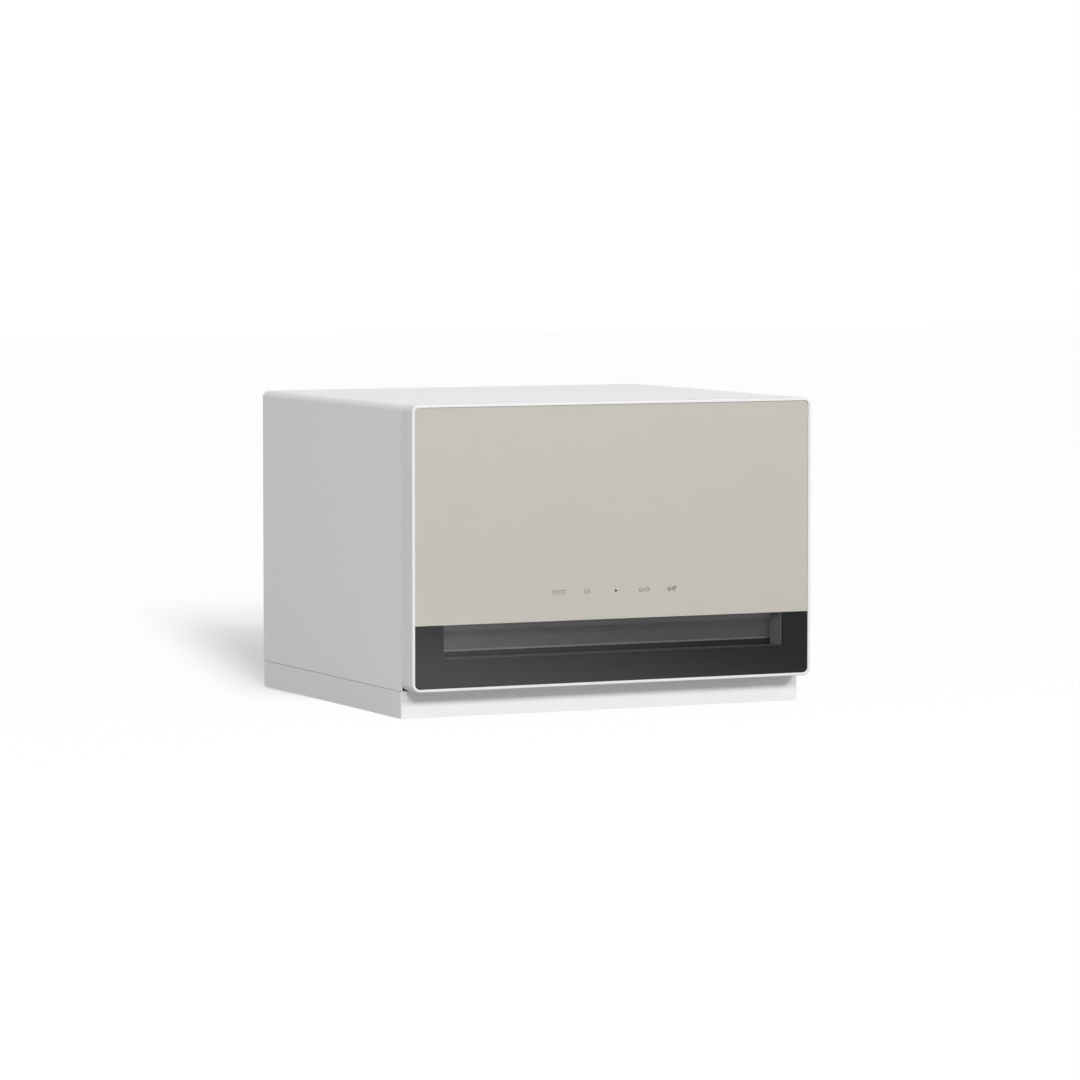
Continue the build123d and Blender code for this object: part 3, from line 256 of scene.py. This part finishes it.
# Flat clear glass: what is behind shows straight through, and the surface adds its gloss.
# A veil is a diffuse share that grows with height, between the two places of veilEdge. The
# growth is painted light: it lightens the upper part of a pane, where shade falls.
def clearFinish(name, values):
    material, tree, out = newMaterial(name)
    shared = surfaceValues
    through = tree.add("ShaderNodeBsdfTransparent", {}, {"Color": (*values["tint"], 1.0)})
    if "veil" in values:
        low, high = values["veil"]
        hazeAndPaintedLight = tree.add("ShaderNodeBsdfDiffuse", {}, {"Color": grey(values["veilTone"])})
        risen = tree.axis("Z").ramp(*values["veilEdge"]) ** shared["veilCurve"]
        veil = low + (high - low) * risen
        through = tree.blend(veil, through, hazeAndPaintedLight)
    haze = tree.noise(values["cloud"], shared["cloudDetail"])
    rough = values["rough"] + values["roughSpread"] * (haze - shared["noiseMiddle"])
    gloss = tree.add("ShaderNodeBsdfGlossy", {}, {"Color": grey(1.0), "Roughness": rough})
    facing = tree.add("ShaderNodeLayerWeight", {}, {"Blend": shared["facingBlend"]}, "Facing")
    head = values["headOn"]
    mixed = tree.blend(head + (1.0 - head) * facing ** shared["facingCurve"], through, gloss)
    tree.links.new(mixed.socket, out.inputs["Surface"])
    return material


whitePaint = {
    "colour": (0.84, 0.84, 0.84), "uneven": 0.015, "cloud": 4.0, "grain": 1600.0,
    "rough": 0.42, "roughSpread": 0.08, "bump": 0.12, "height": 0.0001,
}
finishes = {
    "shell_white": coatedFinish("shellPaint", whitePaint),
    "base_white": coatedFinish("basePlastic", {**whitePaint, "rough": 0.48, "grain": 2200.0}),
    # Painted shade: the front face of the drawer front's rim is painted darker (0.74) than its sides
    # (0.82), so that it shows less bright where the key lamps light it most.
    "front_white": coatedFinish("frontPaint", {
        **whitePaint, "colour": (0.74, 0.74, 0.74), "rough": 0.62, "grain": 1200.0, "bump": 0.06,
        "otherWhere": ("Y", -0.1957, -0.1953), "otherColour": (0.82, 0.82, 0.82),
    }),
    "cover_white": coatedFinish("coverPlastic", {
        **whitePaint, "colour": (0.78, 0.78, 0.775), "bump": 0.25,
    }),
    "print_pale": coatedFinish("palePrintInk", {
        "colour": (0.552, 0.515, 0.470), "uneven": 0.012, "cloud": 6.0, "grain": 2500.0,
        "rough": 0.6, "roughSpread": 0.05, "bump": 0.05, "height": 0.00005,
    }),
    "print_smoke": coatedFinish("smokePrintInk", {
        "colour": (0.013, 0.013, 0.013), "uneven": 0.08, "cloud": 8.0, "grain": 2500.0,
        "rough": 0.55, "roughSpread": 0.05, "bump": 0.05, "height": 0.00005, "shine": 0.1,
    }),
    "dark_plastic": coatedFinish("darkMoulding", {
        "colour": (0.035, 0.035, 0.037), "uneven": 0.15, "cloud": 12.0, "grain": 1800.0,
        "rough": 0.5, "roughSpread": 0.12, "bump": 0.25, "height": 0.0001,
    }),
    "rubber_dark": coatedFinish("rubberFinish", {
        "colour": (0.045, 0.045, 0.045), "uneven": 0.2, "cloud": 40.0, "grain": 1500.0,
        "rough": 0.75, "roughSpread": 0.15, "bump": 0.3, "height": 0.0001,
    }),
    "silicone_grey": coatedFinish("siliconeFinish", {
        "colour": (0.42, 0.42, 0.41), "uneven": 0.05, "cloud": 30.0, "grain": 1200.0,
        "rough": 0.5, "roughSpread": 0.1, "bump": 0.1, "height": 0.0001,
    }),
    "duct_plastic": coatedFinish("ductPlastic", {
        "colour": (0.06, 0.06, 0.065), "uneven": 0.15, "cloud": 20.0, "grain": 1500.0,
        "rough": 0.55, "roughSpread": 0.12, "bump": 0.25, "height": 0.0001,
    }),
    "lens_grey": coatedFinish("lensGrey", {
        "colour": (0.42, 0.42, 0.42), "uneven": 0.04, "cloud": 60.0, "grain": 800.0,
        "rough": 0.2, "roughSpread": 0.04, "bump": 0.02, "height": 0.0001,
    }),
    "circuit_green": coatedFinish("circuitMask", {
        "colour": (0.02, 0.14, 0.06), "uneven": 0.4, "cloud": 160.0, "grain": 900.0,
        "rough": 0.35, "roughSpread": 0.1, "bump": 0.4, "height": 0.0002,
    }),
    "filter_fleece": coatedFinish("fleeceFinish", {
        "colour": (0.76, 0.76, 0.74), "uneven": 0.2, "cloud": 500.0, "grain": 900.0,
        "rough": 0.9, "roughSpread": 0.1, "bump": 0.9, "height": 0.0006,
    }),
    # Painted highlight: above 66.4 mm the tray's top edge is painted lighter (0.67) and made rougher,
    # so that it shows as a bright line through the window.
    "stainless": metalFinish("trayMetal", {
        "colour": (0.62, 0.62, 0.615), "uneven": 0.06, "streak": (3.0, 700.0, 700.0),
        "rough": 0.28, "roughSpread": 0.06, "bump": 0.02, "height": 0.00003,
        "otherWhere": ("Z", 0.0664, 0.0666), "otherColour": (0.67, 0.67, 0.67), "otherRough": 0.45,
    }),
    "mirror_steel": metalFinish("mirrorMetal", {
        "colour": (0.76, 0.76, 0.755), "uneven": 0.04, "streak": (400.0, 3.0, 400.0),
        "rough": 0.25, "roughSpread": 0.04, "bump": 0.01, "height": 0.00002,
        "otherWhere": ("Y", 0.142, 0.143), "otherColour": (0.88, 0.88, 0.88), "otherRough": 0.12,
    }),
    "zinc_steel": metalFinish("zincMetal", {
        "colour": (0.56, 0.57, 0.59), "uneven": 0.25, "streak": (60.0, 60.0, 60.0),
        "rough": 0.4, "roughSpread": 0.2, "bump": 0.08, "height": 0.0001,
    }),
    "ball_steel": metalFinish("ballMetal", {
        "colour": (0.7, 0.7, 0.7), "uneven": 0.05, "streak": (200.0, 200.0, 200.0),
        "rough": 0.12, "roughSpread": 0.05, "bump": 0.02, "height": 0.00005,
    }),
    "heater_metal": metalFinish("finMetal", {
        "colour": (0.72, 0.72, 0.73), "uneven": 0.1, "streak": (500.0, 500.0, 20.0),
        "rough": 0.35, "roughSpread": 0.1, "bump": 0.1, "height": 0.00005,
    }),
    "contact_brass": metalFinish("brassMetal", {
        "colour": (0.80, 0.62, 0.28), "uneven": 0.15, "streak": (200.0, 200.0, 200.0),
        "rough": 0.25, "roughSpread": 0.1, "bump": 0.05, "height": 0.00005,
    }),
    "glass_clear": clearFinish("paneGlass", {
        "tint": (0.985, 0.99, 0.988), "rough": 0.02, "roughSpread": 0.01,
        "cloud": 12.0, "headOn": 0.028,
    }),
}
# Painted light: the inner pane's veil grows from 0.074 to 0.37 between 81 and 89 mm high, lightening
# its upper part, which lies in the tunnel's shade.
smokedGlass = clearFinish("smokedGlass", {
    "tint": (0.62, 0.62, 0.62), "rough": 0.02, "roughSpread": 0.01,
    "cloud": 12.0, "headOn": 0.022,
    "veil": (0.074, 0.37), "veilTone": 0.8, "veilEdge": (0.081, 0.089),
})
# Painted light: above 61 mm the tunnel's walls, its jambs, are painted lighter (0.225) than its sill
# (0.07), so that the jambs show as lit.
tunnelPlastic = coatedFinish("tunnelPlastic", {
    "colour": (0.07, 0.07, 0.07), "uneven": 0.1, "cloud": 12.0, "grain": 1800.0,
    "rough": 0.45, "roughSpread": 0.1, "bump": 0.2, "height": 0.0001,
    "otherWhere": ("Z", 0.0609, 0.0614), "otherColour": (0.225, 0.225, 0.225),
})
iconInk = coatedFinish("iconInk", {
    "colour": (0.04, 0.04, 0.04), "uneven": 0.1, "cloud": 60.0, "grain": 2500.0,
    "rough": 0.6, "roughSpread": 0.05, "bump": 0.02, "height": 0.00002,
})
nodeFinish = {node: finishes[slot] for node, slot in nodeSlot.items()}
nodeFinish["window_tunnel"] = tunnelPlastic
nodeFinish["inner_pane"] = smokedGlass
for node, finish in nodeFinish.items():
    for place in nodes[node].material_slots:
        place.material = finish
print("finishes made")


# Turns a mesh into a piece of the object, shaded smooth up to its sharp edges
def finishPiece(name, mesh, finish, body, replaced=()):
    data = bpy.data.meshes.new(name)
    mesh.to_mesh(data)
    mesh.free()
    data.materials.append(finish)
    data.shade_smooth()
    data.set_sharp_from_angle(angle=math.radians(meshValues["sharpAngle"]))
    piece = bpy.data.objects.new(name, data)
    bpy.context.scene.collection.objects.link(piece)
    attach(piece, body)
    if replaced:
        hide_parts(*replaced)
    return piece


def evenShading(piece):
    even = piece.modifiers.new("evenNormals", "WEIGHTED_NORMAL")
    even.keep_sharp = True
    even.weight = meshValues["normalWeight"]


# Small sizes in mm that were read after the solids were made: tighter front corners, a seam
# line a little higher and finer, a lip under the drawer front, a sharp foot of the base, and
# a window a little to the right. tighten has the top and the bottom corners. seamRise has the
# lower edge of the shell and the upper edge of the base.
fineValues = {
    "corner": 9.5, "tighten": (2.2, 1.1), "seamRise": (0.6, 0.82), "frontLip": 0.68,
    "baseCorner": 2.0, "baseFillet": 1.2, "footCore": 0.3,
    "windowShift": 1.5, "windowSkin": 0.05, "windowReach": 200.0,
}


# Each corner arc of the drawer front gets a smaller radius about a middle that lies further out
def tightenCorners(mesh, radius, shifts):
    low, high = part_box("front_frame")
    middle = (low + high) / 2
    for vert in mesh.verts:
        sideX = math.copysign(1.0, vert.co.x - middle.x)
        sideZ = math.copysign(1.0, vert.co.z - middle.z)
        shift = (shifts[0] if sideZ > 0 else shifts[1]) * mm
        centreX = middle.x + sideX * ((high.x - low.x) / 2 - radius)
        centreZ = middle.z + sideZ * ((high.z - low.z) / 2 - radius)
        across = (vert.co.x - centreX) * sideX
        up = (vert.co.z - centreZ) * sideZ
        reach = math.hypot(across, up)
        if min(across, up) > -meshValues["near"] * mm and reach > shift:
            vert.co.x = centreX + sideX * (shift + across * (reach - shift) / reach)
            vert.co.z = centreZ + sideZ * (shift + up * (reach - shift) / reach)


# The edge at a level goes up, and its front part by the lip as well
def raiseEdge(mesh, level, rise, lip=0.0):
    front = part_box("base_pan")[0].y
    near = meshValues["near"] * mm
    for vert in mesh.verts:
        if abs(vert.co.z - level) < near:
            vert.co.z += rise
            if vert.co.y < front + near:
                vert.co.z += lip


# The fillet round the foot of the base is pushed out into a sharp edge
def sharpenFoot(mesh, corner, fillet, core):
    low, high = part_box("base_pan")
    middle = (low + high) / 2
    for vert in mesh.verts:
        if vert.co.z < low.z + fillet:
            across = abs(vert.co.x - middle.x) - ((high.x - low.x) / 2 - corner)
            along = abs(vert.co.y - middle.y) - ((high.y - low.y) / 2 - corner)
            across, along = max(across, 0.0), max(along, 0.0)
            reach = math.hypot(across, along)
            if reach > core * corner:
                grow = corner / reach - 1.0
                vert.co.x += math.copysign(across * grow, vert.co.x - middle.x)
                vert.co.y += math.copysign(along * grow, vert.co.y - middle.y)


# The window's opening moves sideways in the front skin, and what lies beyond the reach stays
def shiftWindow(mesh, shift, skin, reach):
    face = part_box("window_tunnel")[0].y + skin
    for vert in mesh.verts:
        if vert.co.y < face and abs(vert.co.x) < reach:
            vert.co.x += shift


# The mesh of a node, merged and with the small sizes above
def fineMesh(node, values):
    mesh = bmesh.new()
    mesh.from_mesh(nodes[node].data)
    bmesh.ops.remove_doubles(mesh, verts=mesh.verts, dist=meshValues["merge"] * mm)
    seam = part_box("outer_shell")[0].z
    shellRise, baseRise = [rise * mm for rise in values["seamRise"]]
    if node in ("front_frame", "pale_print", "smoke_print"):
        tightenCorners(mesh, values["corner"] * mm, values["tighten"])
    if node == "outer_shell":
        raiseEdge(mesh, seam, shellRise)
    if node == "base_pan":
        raiseEdge(mesh, seam - shellRise, baseRise, values["frontLip"] * mm)
        corner, fillet = values["baseCorner"] * mm, values["baseFillet"] * mm
        sharpenFoot(mesh, corner, fillet, values["footCore"])
    if node in ("window_tunnel", "smoke_print"):
        skin, reach = values["windowSkin"] * mm, values["windowReach"] * mm
        shiftWindow(mesh, values["windowShift"] * mm, skin, reach)
    bmesh.ops.remove_doubles(mesh, verts=mesh.verts, dist=meshValues["lastMerge"] * mm)
    return mesh


# A node's own form with every sharp edge rounded, as a mould or a press leaves it. With a
# radius of 0 the edges stay as they are.
def roundedCopy(name, node, radius, segments):
    mesh = fineMesh(node, fineValues)
    bmesh.ops.dissolve_limit(
        mesh, angle_limit=math.radians(meshValues["flatAngle"]), use_dissolve_boundaries=False,
        verts=mesh.verts, edges=mesh.edges,
    )
    piece = finishPiece(name, mesh, nodeFinish[node], nodeBody[node], (node,))
    if radius > 0.0:
        rounded = piece.modifiers.new("roundedEdges", "BEVEL")
        rounded.width = radius
        rounded.segments = segments
        rounded.limit_method = "ANGLE"
        rounded.angle_limit = math.radians(meshValues["sharpAngle"])
        rounded.use_clamp_overlap = False
        rounded.harden_normals = False
    evenShading(piece)


# Name of the piece, radius in mm and segments for each node
roundedValues = {
    "outer_shell": ("shellSkin", 0.2, 2),
    "front_frame": ("frontSkin", 0.3, 3),
    "base_pan": ("baseSkin", 0.0, 0),
    "rear_panel": ("rearSkin", 0.25, 2),
    "filter_cover": ("filterCoverSkin", 0.3, 3),
    "feet": ("footPads", 0.3, 3),
    "drawer_tray": ("traySheet", 0.15, 2),
    "inner_cover": ("coverSkin", 0.25, 2),
    "door_seal": ("sealLip", 0.9, 4),
    "window_tunnel": ("windowFrame", 0.2, 2),
}
for node, (name, radius, segments) in roundedValues.items():
    roundedCopy(name, node, radius * mm, segments)
print("edges rounded")


def edgesWhere(mesh, test):
    return [edge for edge in mesh.edges if all(test(vert.co) for vert in edge.verts)]


def roundEdges(mesh, edges, radius, segments):
    bmesh.ops.bevel(
        mesh, geom=edges, offset=radius, offset_type="OFFSET", affect="EDGES",
        segments=segments, profile=0.5, material=-1,
    )


def boxMesh(low, high):
    mesh = bmesh.new()
    bmesh.ops.create_cube(mesh, size=1.0)
    bmesh.ops.scale(mesh, vec=high - low, verts=mesh.verts)
    bmesh.ops.translate(mesh, vec=(low + high) / 2, verts=mesh.verts)
    return mesh


# The front pane, with round corners and a polished edge. It is as thick as a pane seems from
# in front, and the prints reach forward to its back. corners has the top and the bottom ones.
paneValues = {
    "corners": (4.4, 5.5), "cornerSegments": 10, "polish": 0.3, "polishSegments": 3,
    "seenDepth": 0.9, "printGap": 0.12, "fromMiddle": 100.0, "alongDepth": 0.9,
}


def makeFrontPane(values):
    low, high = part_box("front_glass")
    high.y = low.y + values["seenDepth"] * mm
    mesh = boxMesh(low, high)
    middle = (low + high) / 2
    far = values["fromMiddle"] * mm
    for radius, side in zip(values["corners"], (1.0, -1.0)):
        corners = [
            edge for edge in edgesWhere(mesh, lambda co: side * (co.z - middle.z) > far)
            if abs((edge.verts[0].co - edge.verts[1].co).normalized().y) > values["alongDepth"]
        ]
        roundEdges(mesh, corners, radius * mm, values["cornerSegments"])
    rim = edgesWhere(mesh, lambda co: co.y < low.y + meshValues["near"] * mm)
    roundEdges(mesh, rim, values["polish"] * mm, values["polishSegments"])
    bmesh.ops.recalc_face_normals(mesh, faces=mesh.faces)
    glass = finishes["glass_clear"]
    pane = finishPiece("frontPane", mesh, glass, "drawer", ("front_glass",))
    evenShading(pane)


def makePrint(values, name, node):
    mesh = fineMesh(node, fineValues)
    low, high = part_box(node)
    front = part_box("front_glass")[0].y + (values["seenDepth"] + values["printGap"]) * mm
    for vert in mesh.verts:
        if vert.co.y < (low.y + high.y) / 2:
            vert.co.y = front
    sheet = finishPiece(name, mesh, nodeFinish[node], "drawer", (node,))
    sheet.data.shade_flat()


makeFrontPane(paneValues)
makePrint(paneValues, "palePanel", "pale_print")
makePrint(paneValues, "smokePanel", "smoke_print")

# A dark strip on the inner pane, which hides the front wall of the tray up to its edge. It is painted
# shade: a dark sheet standing for the shade on the tray's front wall inside the tunnel.
stripValues = {"thickness": 0.15, "height": 5.6, "edge": 0.05, "edgeSegments": 2}


def makePaneStrip(values):
    low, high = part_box("inner_pane")
    face = Vector((high.x, low.y, low.z + values["height"] * mm))
    mesh = boxMesh(Vector((low.x, low.y - values["thickness"] * mm, low.z)), face)
    roundEdges(mesh, mesh.edges[:], values["edge"] * mm, values["edgeSegments"])
    finishPiece("paneStrip", mesh, finishes["print_smoke"], "drawer")


makePaneStrip(stripValues)

# Small signs over the touch fields, between the pane and the pale panel, drawn with strokes.
# Sizes and points are in mm from the middle of a sign, and turns are in degrees.
signValues = {
    "pitch": 31.5, "shift": 1.4, "height": 90.3, "depth": 0.96, "thickness": 0.06, "stroke": 0.5,
    "tubeReach": 7.0, "tubeHeight": 1.8, "rayCount": 5, "rayStart": (0.86, 0.6), "rayEnd": (0.95, -1.8),
    "wavePlaces": (-2.6, 0.0, 2.6),
    "wavePoints": ((-0.35, -1.8), (0.35, -0.6), (-0.35, 0.6), (0.35, 1.8)),
    "playSize": 2.1,
    "cycleRadius": 1.7, "cycleReach": 3.7, "cycleTurns": ((40, 330), (220, 510)), "cycleSteps": 12,
    "cycleBar": 1.1, "cycleTick": (0.9, 1.7),
    "hornPoints": (
        (-5.5, -0.7), (-4.3, -0.7), (-2.8, -1.8), (-2.8, 1.8), (-4.3, 0.7), (-5.5, 0.7), (-5.5, -0.7),
    ),
    "soundRadii": (2.0, 3.6, 5.2), "soundPlace": -2.2, "soundTurn": 32, "soundSteps": 5,
    "strike": ((-4.9, -2.1), (4.6, 2.1)),
}


def arcPoints(x, radius, start, end, steps):
    turns = [math.radians(start + (end - start) * step / steps) for step in range(steps + 1)]
    return [(x + radius * math.cos(turn), radius * math.sin(turn)) for turn in turns]


def lampSign(values):
    reach = values["tubeReach"]
    height = values["tubeHeight"]
    count = values["rayCount"]
    lines = [[(-reach, height), (reach, height)]]
    for index in range(count):
        x = reach * (2 * index / (count - 1) - 1)
        lines.append([(share * x, up) for share, up in (values["rayStart"], values["rayEnd"])])
    return lines


def warmAirSign(values):
    return [[(x + across, up) for across, up in values["wavePoints"]] for x in values["wavePlaces"]]


def cycleSign(values):
    reach = values["cycleReach"]
    radius = values["cycleRadius"]
    leftTurns, rightTurns = values["cycleTurns"]
    left = arcPoints(-reach, radius, *leftTurns, values["cycleSteps"])
    right = arcPoints(reach, radius, *rightTurns, values["cycleSteps"])
    bar = [(-values["cycleBar"], 0.0), (values["cycleBar"], 0.0)]
    across, up = values["cycleTick"]
    leftTick = [(left[-1][0] + across, -up), left[-1]]
    rightTick = [(right[-1][0] - across, up), right[-1]]
    return [left, right, bar, leftTick, rightTick]


def quietSign(values):
    turn = values["soundTurn"]
    sounds = [
        arcPoints(values["soundPlace"], radius, -turn, turn, values["soundSteps"])
        for radius in values["soundRadii"]
    ]
    return [values["hornPoints"], *sounds, values["strike"]]


def makeSigns(values):
    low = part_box("front_glass")[0]
    centre = Vector((values["shift"], values["depth"], values["height"])) * mm
    centre = Vector((centre.x, low.y + centre.y, low.z + centre.z))
    mesh = bmesh.new()
    makers = (lampSign, warmAirSign, None, cycleSign, quietSign)
    for index, maker in enumerate(makers):
        middle = centre + Vector(((index - 2) * values["pitch"] * mm, 0.0, 0.0))
        lines = maker(values) if maker else []
        for line in lines:
            for first, last in zip(line, line[1:]):
                run = Vector(last) - Vector(first)
                half = (Vector(first) + Vector(last)) / 2 * mm
                place = Matrix.Translation(middle + Vector((half.x, 0.0, half.y)))
                place = place @ Matrix.Rotation(-math.atan2(run.y, run.x), 4, "Y")
                size = (run.length + values["stroke"], values["thickness"], values["stroke"])
                place = place @ Matrix.Diagonal((*(Vector(size) * mm), 1.0))
                bmesh.ops.create_cube(mesh, size=1.0, matrix=place)
    play = Matrix.Translation(centre) @ Matrix.Rotation(math.radians(90), 4, "X")
    radius = values["playSize"] * mm
    bmesh.ops.create_cone(
        mesh, cap_ends=True, segments=3, radius1=radius, radius2=radius,
        depth=values["thickness"] * mm, matrix=play @ Matrix.Rotation(math.radians(-90), 4, "Z"),
    )
    bmesh.ops.recalc_face_normals(mesh, faces=mesh.faces)
    finishPiece("touchSigns", mesh, iconInk, "drawer")


makeSigns(signValues)
print("pane, prints, strip and signs made")

# Floor, lights and world. Angles are in degrees, to the right of the front and above the floor.
studioValues = {
    "sky": 0.54, "lampDistance": 4.0,
    "keyTurns": (-18.0, 18.0), "keyRise": 22.6, "keySize": 0.62, "keyPower": 53.0,
    "overheadHeight": 3.2, "overheadSize": 3.0, "overheadPower": 6.3,
    "fillTurn": -105.0, "fillRise": 14.0, "fillSize": 2.0, "fillPower": 3.0,
    "floorTone": 0.43, "floorShown": 0.92, "floorLift": 0.03, "floorSize": 12.0,
    "shadowStart": (0.0, 0.28), "shadowEnd": (0.4, 1.45), "shadowSlant": 0.25,
    "shadowLeft": (-0.34, -0.21), "shadowRight": (0.30, 0.42), "shadowLeast": 0.04,
    "mirrorDark": 0.87, "mirrorFade": (-0.08, 0.5),
    "middle": (0.0, 0.0, 0.15),
}


def towards(turn, rise):
    turn, rise = math.radians(turn), math.radians(rise)
    flat = math.cos(rise)
    return Vector((math.sin(turn) * flat, -math.cos(turn) * flat, math.sin(rise)))


def addLamp(name, place, aim, size, power):
    data = bpy.data.lights.new(name, "AREA")
    data.size = size
    data.energy = power
    lamp = bpy.data.objects.new(name, data)
    lamp.location = place
    turnTowards(lamp, Vector(aim) - Vector(place))
    bpy.context.scene.collection.objects.link(lamp)


def addWorld(values):
    world = bpy.data.worlds.new("studio")
    bpy.context.scene.world = world
    tree = Tree(world)
    out = tree.node("ShaderNodeOutputWorld", {}, {})
    seen = tree.seenBy("Is Camera Ray") + tree.seenBy("Is Glossy Ray")
    seen = seen + tree.seenBy("Is Transmission Ray")
    ambient = tree.add("ShaderNodeBackground", {}, {"Color": grey(1.0), "Strength": values["sky"]})
    white = tree.add("ShaderNodeBackground", {}, {"Color": grey(1.0), "Strength": 1.0})
    tree.links.new(tree.blend(seen, ambient, white).socket, out.inputs["Surface"])


def addFloor(values):
    ground = bmesh.new()
    bmesh.ops.create_grid(ground, x_segments=1, y_segments=1, size=values["floorSize"])
    data = bpy.data.meshes.new("studioFloor")
    ground.to_mesh(data)
    ground.free()
    floor = bpy.data.objects.new("studioFloor", data)
    bpy.context.scene.collection.objects.link(floor)
    material, tree, out = newMaterial("floorWhite")
    data.materials.append(material)
    x = tree.axis("X")
    y = tree.axis("Y")
    flat = tree.add("ShaderNodeBsdfDiffuse", {}, {"Color": grey(values["floorTone"])})
    seen = tree.seenBy("Is Camera Ray")
    bright = tree.add("ShaderNodeBsdfDiffuse", {}, {"Color": grey(values["floorShown"])})
    lift = tree.add("ShaderNodeEmission", {}, {"Color": grey(1.0), "Strength": values["floorLift"]})
    lit = tree.add("ShaderNodeAddShader", {}, {0: bright, 1: lift})
    # The shadow shows behind the object, and the rest of the floor goes over into white
    least = values["shadowLeast"]
    kept = y.ramp(*values["shadowStart"]) * (1.0 - y.ramp(*values["shadowEnd"]))
    kept = kept * (x - values["shadowSlant"] * y).ramp(*values["shadowLeft"])
    kept = kept * (1.0 - x.ramp(*values["shadowRight"]))
    kept = least + (1.0 - least) * kept
    white = tree.add("ShaderNodeEmission", {}, {"Color": grey(1.0), "Strength": 1.0})
    shown = tree.blend(1.0 - kept, lit, white)
    # What a polished surface shows of the floor is darker towards the right
    tone = 1.0 - values["mirrorDark"] * x.ramp(*values["mirrorFade"])
    mirrored = tree.add("ShaderNodeEmission", {}, {"Color": grey(1.0), "Strength": tone})
    first = tree.blend(seen, flat, shown)
    last = tree.blend(tree.seenBy("Is Glossy Ray"), first, mirrored)
    tree.links.new(last.socket, out.inputs["Surface"])


def addStudio(values):
    addWorld(values)
    addFloor(values)
    middle = Vector(values["middle"])
    for index, degrees in enumerate(values["keyTurns"]):
        place = middle + towards(degrees, values["keyRise"]) * values["lampDistance"]
        addLamp(f"keyLight{index + 1}", place, middle, values["keySize"], values["keyPower"])
    place = middle + towards(values["fillTurn"], values["fillRise"]) * values["lampDistance"]
    addLamp("fillLight", place, middle, values["fillSize"], values["fillPower"])
    overhead = Vector((0.0, 0.0, values["overheadHeight"]))
    addLamp("overheadLight", overhead, middle, values["overheadSize"], values["overheadPower"])


addStudio(studioValues)
bpy.context.scene.view_settings.view_transform = "Standard"
print("studio set")
